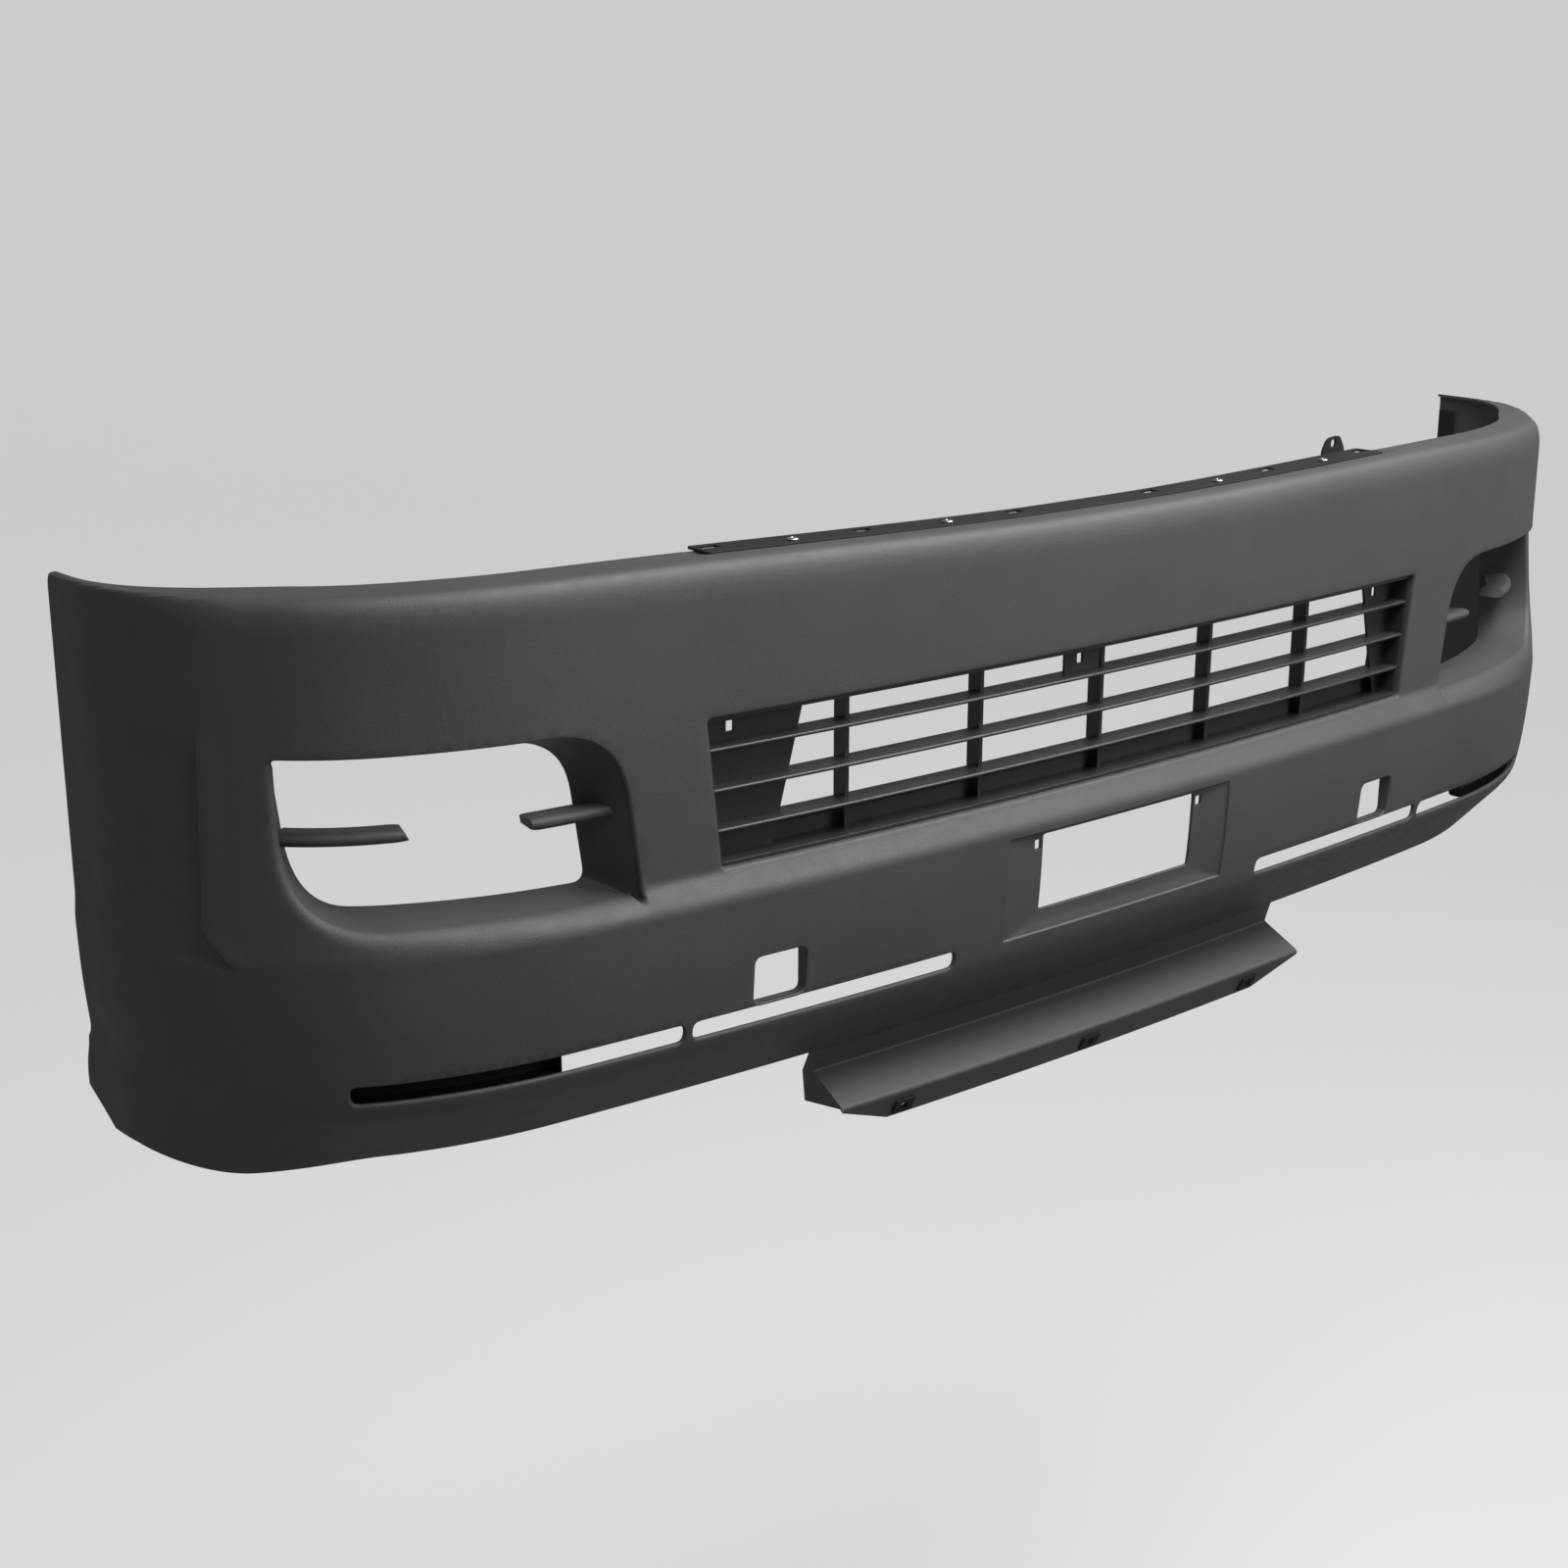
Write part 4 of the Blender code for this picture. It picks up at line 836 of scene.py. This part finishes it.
def nosed(front, rear, z, thick, droop=0.0):
    """Section of a slat: a round nose, a flat body and a slightly thinner tail."""
    half = thick / 2
    nose = [(front + half * 1.4 * (1 - cos(a)), z + half * sin(a))
            for a in [pi / 2 * k / 4 for k in range(5)]]
    tail = [(rear, z + half * 0.7 - droop), (rear, z - half * 0.7 - droop)]
    return nose + tail + [(inset, 2 * z - height) for inset, height in nose[:0:-1]]


def along_edge(s0, z0, s1, z1, pitch=0.012):
    return [(mix(s0, s1, t), mix(z0, z1, t)) for t in stations(0, 1, pitch / max(1e-4, abs(s1 - s0)))]


def tab_hole(word):
    s = TAB_HOLES[word]
    return rectangle(s - 0.004, s + 0.004, TAB_HOLE_Z - 0.005, TAB_HOLE_Z + 0.005)


def grille_half(z, margin):
    share = (GRILLE_TOP_Z - z) / (GRILLE_TOP_Z - GRILLE_BOTTOM_Z)
    return mix(GRILLE_HALF_TOP, GRILLE_HALF_BOTTOM, share) - margin


def on_belt(s, z, inset):
    return place(s, inset, z)


def build_grille(made):
    """Frame, slats, ribs, blanking panels, centre tab, rear ledge and screw lugs."""
    gap = FIT + 0.0002
    spread = (16, 90, 16, 90)
    bm = bmesh.new()
    outer = rounded(grille_corners(gap), (0.0048,) * 4, 5, spread)
    inner = rounded(grille_corners(gap + FRAME_WALL), (0.0030,) * 4, 5, spread)
    add_tube(bm, outer, inner, FACE_INSET + 0.006, GRILLE_REAR)
    low = GRILLE_BOTTOM_Z + gap + FRAME_WALL
    high = GRILLE_TOP_Z - gap - FRAME_WALL
    for k in range(3):
        z = high - (high - low) * (k + 0.72) / 3.5
        half = grille_half(z, gap + FRAME_WALL / 2)
        add_bar(bm, -half, half, lambda s, z=z: nosed(
            GRILLE_FRONT, GRILLE_FRONT + SLAT_CHORD, z, SLAT_THICK))
    for k in range(-2, 3):
        s = k * RIB_PITCH
        add_bar(bm, s - RIB_THICK / 2, s + RIB_THICK / 2, lambda s: [
            (RIB_FRONT, high + 0.001), (RIB_FRONT, low - 0.001), (RIB_REAR, low - 0.001),
            (RIB_REAR, high + 0.001)])
    for word, side in SIDES:
        top_edge, bottom_edge = BLANK_EDGES[side]
        far_high, far_low = grille_half(high, gap + 0.001), grille_half(low, gap + 0.001)
        outline = (along_edge(top_edge, high + 0.001, bottom_edge, low - 0.001)
                   + along_edge(bottom_edge, low - 0.001, far_low, low - 0.001)[1:]
                   + along_edge(far_low, low - 0.001, far_high, high + 0.001)[1:]
                   + along_edge(far_high, high + 0.001, top_edge, high + 0.001)[1:-1])
        outline = [(side * s, z) for s, z in outline]
        add_slab(bm, outline, [tab_hole(word)], BLANK_INSET, BLANK_INSET + FRAME_WALL, on_belt)
    tab = rectangle(TAB_S - TAB_WIDTH / 2, TAB_S + TAB_WIDTH / 2, high - 0.032, high + 0.001, 0.0015,
                    (4, 2, 4, 2))
    add_slab(bm, tab, [tab_hole("centre")], BLANK_INSET, BLANK_INSET + FRAME_WALL, on_belt)
    half = grille_half(low, gap + 0.001)
    add_bar(bm, -half, half, lambda s: [
        (LEDGE_INSET, low + LEDGE_HEIGHT - 0.0008), (LEDGE_INSET, low - 0.001),
        (LEDGE_INSET + FRAME_WALL, low - 0.001), (LEDGE_INSET + FRAME_WALL, low + LEDGE_HEIGHT),
        (LEDGE_INSET + 0.0008, low + LEDGE_HEIGHT)])
    seat = FACE_INSET + GRILLE_RETURN + 2 * FIT
    for s, z in grille_screws():
        edge = GRILLE_TOP_Z - 0.002 if z > GRILLE_TOP_Z else GRILLE_BOTTOM_Z + 0.002
        far = z + (0.008 if z > edge else -0.008)
        add_slab(bm, rectangle(s - 0.010, s + 0.010, min(edge, far), max(edge, far), 0.0020),
                 [ring_around(s, z, SHANK_HOLE)], seat, seat + FRAME_WALL, on_belt)
    new_piece("grille_moulding", bm, made, "lower_grille", bevel=0.0003)


# ---- lamp pockets

def grown_loop(loop, margin):
    loop = counter_clockwise(loop)
    return [p + n * margin for p, n in zip(loop, outward_normals(loop))]


# Tip, root, slant of the tip and height of each blade.
BLADES = ((0.770, 0.893, 0.7, -0.1955), (0.655, 0.578, 0.2, -0.2010))


def build_pocket(word, side, made):
    """A lip behind the cover's rim, walls that narrow to the rear, and two short blades."""
    front = fog_opening(side)["edge"]
    rear = counter_clockwise(fog_outline(side, *FOG_REAR))
    lip = grown_loop(front, 0.022)
    collar = grown_loop(front, 0.004)
    mouth = [pocket_front(p.x, p.y, n) for p, n in zip(front, outward_normals(front))]
    rings = [[place(p.x, behind_skin(p.x, p.y, 0.0016), p.y) for p in lip],
             [place(p.x, inset, p.y) for p, inset in zip(collar, mouth)],
             [place(p.x, inset, p.y) for p, inset in zip(front, mouth)]]
    for share in (0.25, 0.5, 0.75, 1.0):
        rings.append([place(mix(f.x, r.x, share), mix(inset, POCKET_DEPTH, share), mix(f.y, r.y, share))
                      for f, r, inset in zip(front, rear, mouth)])
    bm = bmesh.new()
    loops = [[bm.verts.new(point) for point in ring] for ring in rings]
    for near, far in zip(loops, loops[1:]):
        for k, j in neighbours(len(near)):
            bm.faces.new((near[j], near[k], far[k], far[j]))
    bm = opened(thickened(to_mesh("pocket_sheet", bm), POCKET_WALL, 1))
    for tip, root, lean, blade_z in BLADES:
        rings = []
        for share in stations(0, 1, 0.05):
            full = min(1.0, 0.80 + share * 3.0)
            rings.append([
                place(side * (mix(tip, root, share) + lean * (z - blade_z) * (1 - share)), inset, z)
                for inset, z in nosed(BLADE_FRONT + 0.004 * (1 - full), BLADE_REAR, blade_z,
                                      BLADE_THICK * full, 0.001)])
        add_loft(bm, rings)
    bm.normal_update()
    new_piece(f"lamp_pocket_{word}", bm, made, f"fog_pocket_{word}")


# ---- strip, bracket, liners

def build_strip(made):
    """The flat strip behind the shoulder, with its clip slots and rivet holes."""
    bm = bmesh.new()
    outline = rectangle(-STRIP_HALF, STRIP_HALF, STRIP_FRONT, STRIP_REAR, 0.003, (76, 3, 76, 3))
    holes = []
    half = STRIP_SLOT_LENGTH / 2
    for side in (-1, 1):
        holes += [rectangle(side * s - half, side * s + half, *STRIP_SLOT_INSETS, 0.0015, (2, 1, 2, 1))
                  for s in STRIP_SLOTS]
    for side in (-1, 1):
        holes += [ring_around(side * s, STRIP_FRONT + STRIP_RIVET_INSET, SHANK_HOLE)
                  for s in STRIP_RIVETS]
    add_slab(bm, outline, holes, 0.0, -STRIP_THICK, lambda s, inset, z: place(s, inset, crown_z(s) + z))
    new_piece("retainer_strip", bm, made, "upper_retainer", bevel=0.0003)


def build_bracket(made):
    """The upright ear at the strip's right end."""
    top = crown_z(BRACKET_S)
    low = top - STRIP_THICK - 0.008
    outline = rounded([(BRACKET_S - 0.026, low), (BRACKET_S + 0.014, low), (BRACKET_S + 0.014, top + 0.003),
                       (BRACKET_S + 0.004, top + 0.018), (BRACKET_S - 0.018, top + 0.016),
                       (BRACKET_S - 0.026, top + 0.003)],
                      (0.002, 0.002, 0.003, 0.006, 0.006, 0.003), 6, (3, 1, 1, 2, 1, 1))
    hole = ring_around(BRACKET_S - 0.007, top + 0.010, 0.005, sides=32)
    bm = bmesh.new()
    add_slab(bm, outline, [hole], STRIP_REAR + FIT, STRIP_REAR + FIT + 0.003, on_belt)
    new_piece("end_bracket", bm, made, "upper_bracket", bevel=0.0004)


def build_liner(word, side, made):
    """A bent channel with closed ends behind the blind part of a lower slot."""
    def line(s):
        roof, floor = SLOT_TOP_Z + 0.0045, SLOT_BOTTOM_Z - 0.004
        high = behind_skin(s, SLOT_TOP_Z + 0.006, 0.0014)
        low = behind_skin(s, floor, 0.0022)
        return bent([(high, -0.375), (high, roof), (LINER_REAR, roof), (LINER_REAR, floor), (low, floor)],
                    (0.0015, 0.004, 0.004), 4)

    bm = bmesh.new()
    start, end = side * SLOT_BLIND_S, side * (SLOT_OUTER_S + 0.008)
    add_bar(bm, start, end, lambda s: sheet_section(line(s), 0.0020), 0.010)
    for s in (start, end - side * 0.002):
        high, low = line(s)[0].x, line(s)[-1].x
        front = max(high, low) + 0.0012
        add_bar(bm, s, s + side * 0.002, lambda a, front=front: [
            (front, SLOT_TOP_Z + 0.0040), (front, SLOT_BOTTOM_Z - 0.0035),
            (LINER_REAR - 0.0006, SLOT_BOTTOM_Z - 0.0035), (LINER_REAR - 0.0006, SLOT_TOP_Z + 0.0040)])
    new_piece(f"slot_channel_{word}", bm, made, f"slot_liner_{word}", bevel=0.0002)


def build_side_retainer(word, side, made):
    """The strip inside a wing's rear edge."""
    rear = WING_END_S - 0.010
    front = rear - 0.024

    def ring(z):
        inset = max(behind_skin(front, z, 0.0010), behind_skin(rear, z, 0.0010))
        flat = [(front, inset), (rear, inset), (rear, inset + 0.0025), (front, inset + 0.0025)]
        return [place(side * s, depth, z) for s, depth in flat]

    bm = bmesh.new()
    add_loft(bm, [ring(z) for z in stations(-0.012, -0.385, 0.010)])
    new_piece(f"arch_strip_{word}", bm, made, f"side_retainer_{word}", bevel=0.0005)


# ---- apron

def slope_point(s, u, depth):
    """A point below the slots, u of the way down the cover's slope and depth inside it."""
    knots = section_knots(s)
    high, low = Vector(knots[-2][:2]), Vector(knots[-1][:2])
    along = (low - high).normalized()
    return high.lerp(low, u) + Vector((-along.y, along.x)) * depth


def flange_line():
    """Middle of the flange's section, its direction and its outward normal."""
    tip, foot = Vector(APRON_TIP), Vector(APRON_FOOT)
    along = (foot - tip).normalized()
    return tip + along * (foot - tip).length * 0.60, along, Vector((along.y, -along.x))


def bolt_cutters():
    """Rods that cut the bolt holes out of the flange."""
    middle, _, outward = flange_line()
    rods = []
    for s in APRON_BOLTS:
        bm = bmesh.new()
        axis = (place(s, outward.x, outward.y) - place(s, 0, 0)).normalized()
        add_turned(bm, ((0, -0.008), (BOLT_HOLE, -0.008), (BOLT_HOLE, 0.010), (0, 0.010)),
                   place(s, middle.x, middle.y), axis)
        rods.append(to_mesh("rod", bm))
    return rods


def build_clip_nuts(made):
    """A plate with a round hole over each bolt hole of the flange."""
    middle, along, outward = flange_line()
    near = APRON_THICK / 2 + FIT
    for number, s in enumerate(APRON_BOLTS, 1):
        def at(a, b, lift, s=s):
            spot = middle + along * b + outward * lift
            return place(s + a, spot.x, spot.y)

        bm = bmesh.new()
        add_slab(bm, rectangle(-0.012, 0.012, -0.0092, 0.0092, 0.0018, (2, 2, 2, 2)),
                 [ring_around(0, 0, 0.0050, sides=28)], near, near + 0.0018, at)
        new_piece(f"clip_plate_{number}", bm, made, f"apron_clip_nut_{number}",
                  bevel=0.0003)


def build_apron(made):
    """The folded sheet under the cover, its bolt holes and its end gussets."""
    depth = WALL + FIT + APRON_THICK / 2

    def line(s):
        return bent([slope_point(s, 0.62, depth), slope_point(s, 1.02, depth), APRON_FOLD, APRON_TIP,
                     APRON_FOOT], (0.006, 0.0035, 0.0035), 5)

    def widest(z):
        share = (APRON_TIP[1] - 0.0025 - z) / (APRON_TIP[1] - APRON_FOOT[1])
        return APRON_FLANGE_HALF - 0.010 * share if share > 0.04 else APRON_HALF

    bm = bmesh.new()
    add_loft(bm, [[place(s * widest(z) / APRON_HALF, inset, z)
                   for inset, z in sheet_section(line(s), APRON_THICK)]
                  for s in stations(-APRON_HALF, APRON_HALF, 0.010)])
    bm = opened(carved(to_mesh("apron_sheet", bm), bolt_cutters()))
    high = tuple(slope_point(APRON_HALF, 1.02, WALL + FIT))
    for side in (-1, 1):
        ends = (side * (APRON_HALF - APRON_THICK), side * (APRON_HALF - 0.0002))
        for gusset in ((high, APRON_FOLD, GUSSET_REAR, (0.080, -0.492)),
                       (APRON_FOLD, APRON_TIP, APRON_HEEL, GUSSET_REAR)):
            add_loft(bm, [[place(s, inset, z) for inset, z in gusset] for s in ends])
    new_piece("apron_panel", bm, made, "lower_apron", smooth=35)


# ---- fasteners

def build_push_nuts(made):
    half, bore = PUSH_NUT_THICK / 2, SHANK
    profile = ((bore, -half * 0.2), (PUSH_NUT - 0.0012, -half), (PUSH_NUT, -half * 0.4),
               (PUSH_NUT, half * 0.6), (PUSH_NUT - 0.0010, half), (bore, half))
    for name in PUSH_NUTS:
        turn = stood(*nut_axis(name))
        bm = bmesh.new()
        add_loft(bm, [circle(turn, r, z, 32) for r, z in profile], closed=True)
        new_piece(f"ring_of_{name}", bm, made, name)


def build_screws(made):
    """Rivets down through the strip and screws into the grille's bosses."""
    seats = []
    for k, s in enumerate([-v for v in STRIP_RIVETS[::-1]] + list(STRIP_RIVETS)):
        seats.append((f"retainer_rivet_{k + 1}",
                      place(s, STRIP_FRONT + STRIP_RIVET_INSET, crown_z(s) + FIT),
                      Vector((0, 0, -1)), RIVET_GRIP))
    rear = FACE_INSET + GRILLE_RETURN + 3 * FIT + FRAME_WALL
    for k, (s, z) in enumerate(grille_screws()):
        seats.append((f"grille_screw_{k + 1}", place(s, rear, z), belt(s)[1], SCREW_GRIP))
    for name, seat, axis, grip in seats:
        bm = bmesh.new()
        add_turned(bm, ((0, -HEAD_THICK + 0.0006), (0.0014, -HEAD_THICK + 0.0006),
                        (0.0018, -HEAD_THICK), (HEAD * 0.60, -HEAD_THICK),
                        (HEAD * 0.88, -HEAD_THICK * 0.72), (HEAD, -HEAD_THICK * 0.35), (HEAD, -FIT),
                        (SHANK, -FIT), (SHANK, grip - SHANK), (0, grip)), seat, axis, 32)
        new_piece(f"turned_{name}", bm, made, name)


# ---- materials

def add_node(tree, kind, values=(), **settings):
    node = tree.nodes.new(kind)
    for name, value in settings.items():
        setattr(node, name, value)
    for socket, value in values:
        node.inputs[socket].default_value = value
    return node


def surface(name, colour, roughness, grain, relief, wear, metallic=0.0, specular=0.5):
    """A moulded or plated surface: fine grain, cloudy tone, uneven gloss and worn edges."""
    made = bpy.data.materials.new(name)
    made.use_nodes = True
    tree = made.node_tree
    shader = tree.nodes["Principled BSDF"]
    shader.inputs["Metallic"].default_value = metallic
    shader.inputs["Specular IOR Level"].default_value = specular
    spot = add_node(tree, "ShaderNodeTexCoord").outputs["Object"]

    def noise(scale, detail, rough=0.55):
        node = add_node(tree, "ShaderNodeTexNoise",
                        (("Scale", scale), ("Detail", detail), ("Roughness", rough)))
        tree.links.new(spot, node.inputs["Vector"])
        return node.outputs["Fac"]

    def mapped(source, low, high, to_low, to_high):
        node = add_node(tree, "ShaderNodeMapRange", (("From Min", low), ("From Max", high),
                                                     ("To Min", to_low), ("To Max", to_high)))
        tree.links.new(source, node.inputs["Value"])
        return node.outputs["Result"]

    def blend(factor, first, second):
        node = add_node(tree, "ShaderNodeMix", data_type='RGBA')
        tree.links.new(factor, node.inputs["Factor"])
        for socket, value in (("A", first), ("B", second)):
            target = [i for i in node.inputs if i.name == socket and i.type == 'RGBA'][0]
            if isinstance(value, tuple):
                target.default_value = (*value, 1.0)
            else:
                tree.links.new(value, target)
        return [o for o in node.outputs if o.type == 'RGBA'][0]

    darker = tuple(0.88 * c for c in colour)
    lighter = tuple(1.10 * c for c in colour)
    pale = tuple(min(1.0, 1.9 * c + 0.02) for c in colour)
    cloud = blend(mapped(noise(7.0, 4.0), 0.30, 0.70, 0, 1), darker, lighter)
    cell = add_node(tree, "ShaderNodeTexVoronoi", (("Scale", grain),))
    tree.links.new(spot, cell.inputs["Vector"])
    speck = mapped(cell.outputs["Distance"], 0.0, 0.75, 0, 1)
    toned = blend(mapped(speck, 0, 1, 0.0, 0.22), cloud, pale)
    corners = add_node(tree, "ShaderNodeNewGeometry").outputs["Pointiness"]
    worn = add_node(tree, "ShaderNodeMath", operation='MULTIPLY')
    tree.links.new(mapped(corners, 0.52, 0.64, 0, wear), worn.inputs[0])
    tree.links.new(mapped(noise(38.0, 3.0), 0.35, 0.65, 0.25, 1.0), worn.inputs[1])
    tree.links.new(blend(worn.outputs[0], toned, pale), shader.inputs["Base Color"])
    tree.links.new(mapped(noise(55.0, 5.0), 0.25, 0.75, roughness - 0.06, roughness + 0.06),
                   shader.inputs["Roughness"])
    fine = add_node(tree, "ShaderNodeMath", operation='ADD')
    tree.links.new(speck, fine.inputs[0])
    tree.links.new(mapped(noise(grain * 0.35, 6.0, 0.7), 0, 1, 0, 0.9), fine.inputs[1])
    bump = add_node(tree, "ShaderNodeBump", (("Strength", relief), ("Distance", 0.0004)))
    tree.links.new(fine.outputs[0], bump.inputs["Height"])
    tree.links.new(bump.outputs["Normal"], shader.inputs["Normal"])
    return made


grey = surface("grained grey polypropylene", (0.037, 0.040, 0.038), 0.55, 1400.0, 0.38, 0.35)
# The grille moulding is dark, and its colour is darkened further to near black as painted shade for the
# deep shade inside the grille; the slats' bright noses come from gloss.
slat = surface("dark grille moulding with painted shade", (0.013, 0.014, 0.014), 0.40, 1800.0, 0.12, 0.30)
black = surface("satin black moulding", (0.008, 0.008, 0.009), 0.62, 1600.0, 0.20, 0.15, specular=0.22)
zinc = surface("zinc plate", (0.33, 0.33, 0.34), 0.36, 900.0, 0.12, 0.20, metallic=1.0)

build_cover(grey)
build_grille(slat)
build_strip(black)
build_bracket(black)
build_clip_nuts(black)
build_apron(grey)
build_push_nuts(zinc)
build_screws(zinc)
for word, side in SIDES:
    build_pocket(word, side, grey)
    build_liner(word, side, black)
    build_side_retainer(word, side, black)


# ---- stage, light and camera

FLOOR_Z = -1.9
FLOOR_GLOW = (0.50, 0.56)
FLOOR_RINGS = ((14.0, 0.0), (16.5, 0.6), (18.0, 2.5), (18.5, 6.0), (18.5, 20.0))
SKY_STRENGTH = 0.24
LENS = 51.75
CAMERA_AT = (-1.5995, -1.5181, 0.3740)
CAMERA_TILT = -0.293798
CAMERA_TURN = -0.675666


def build_floor():
    """A wide pale floor that curves up into a round wall. It lights nothing but itself."""
    made = bpy.data.materials.new("matt studio floor")
    made.use_nodes = True
    tree = made.node_tree
    shader = tree.nodes["Principled BSDF"]
    shader.inputs["Base Color"].default_value = (0.30, 0.30, 0.30, 1.0)
    shader.inputs["Specular IOR Level"].default_value = 0.0
    shader.inputs["Emission Color"].default_value = (1.0, 1.0, 1.0, 1.0)
    dust = add_node(tree, "ShaderNodeTexNoise", (("Scale", 2.0),))
    uneven = add_node(tree, "ShaderNodeMapRange", zip(("To Min", "To Max"), FLOOR_GLOW))
    tree.links.new(dust.outputs["Fac"], uneven.inputs["Value"])
    tree.links.new(uneven.outputs["Result"], shader.inputs["Emission Strength"])
    bm = bmesh.new()
    centre = Matrix.Translation((0, 0, FLOOR_Z))
    rings = [[bm.verts.new(point) for point in circle(centre, reach, rise, 64)]
             for reach, rise in FLOOR_RINGS]
    bm.faces.new(rings[0])
    for near, far in zip(rings, rings[1:]):
        for k, j in neighbours(len(near)):
            bm.faces.new((near[k], far[k], far[j], near[j]))
    mesh = to_mesh("studio_floor", bm)
    mesh.materials.append(made)
    mesh.shade_smooth()
    floor = linked("studio_floor", mesh)
    floor.visible_diffuse = floor.visible_glossy = False
    return floor


def add_light(name, at, aim, size, power):
    data = bpy.data.lights.new(name, 'AREA')
    data.shape = 'RECTANGLE'
    data.size, data.size_y = size
    data.energy = power
    lamp = linked(name, data)
    lamp.location = at
    lamp.rotation_euler = (Vector(aim) - Vector(at)).to_track_quat('-Z', 'Y').to_euler()
    return lamp


build_floor()
add_light("soft box above", (0.5, -0.75, 1.5), (0.25, 0.0, -0.2), (2.6, 0.8), 86)
add_light("soft box front right", (2.4, -2.6, 1.1), (0.2, 0.0, -0.2), (1.6, 1.2), 46)

world = bpy.data.worlds.new("studio")
bpy.context.scene.world = world
world.use_nodes = True
sky = world.node_tree.nodes["Background"]
sky.inputs["Color"].default_value = (1.0, 1.0, 1.0, 1.0)
sky.inputs["Strength"].default_value = SKY_STRENGTH

lens = bpy.data.cameras.new("camera")
lens.sensor_width = 36
lens.lens = LENS
lens.clip_end = 60
camera = linked("camera", lens)
camera.location = CAMERA_AT
camera.rotation_euler = (radians(90) + CAMERA_TILT, 0, CAMERA_TURN)
bpy.context.scene.camera = camera
bpy.context.scene.view_settings.view_transform = 'Standard'
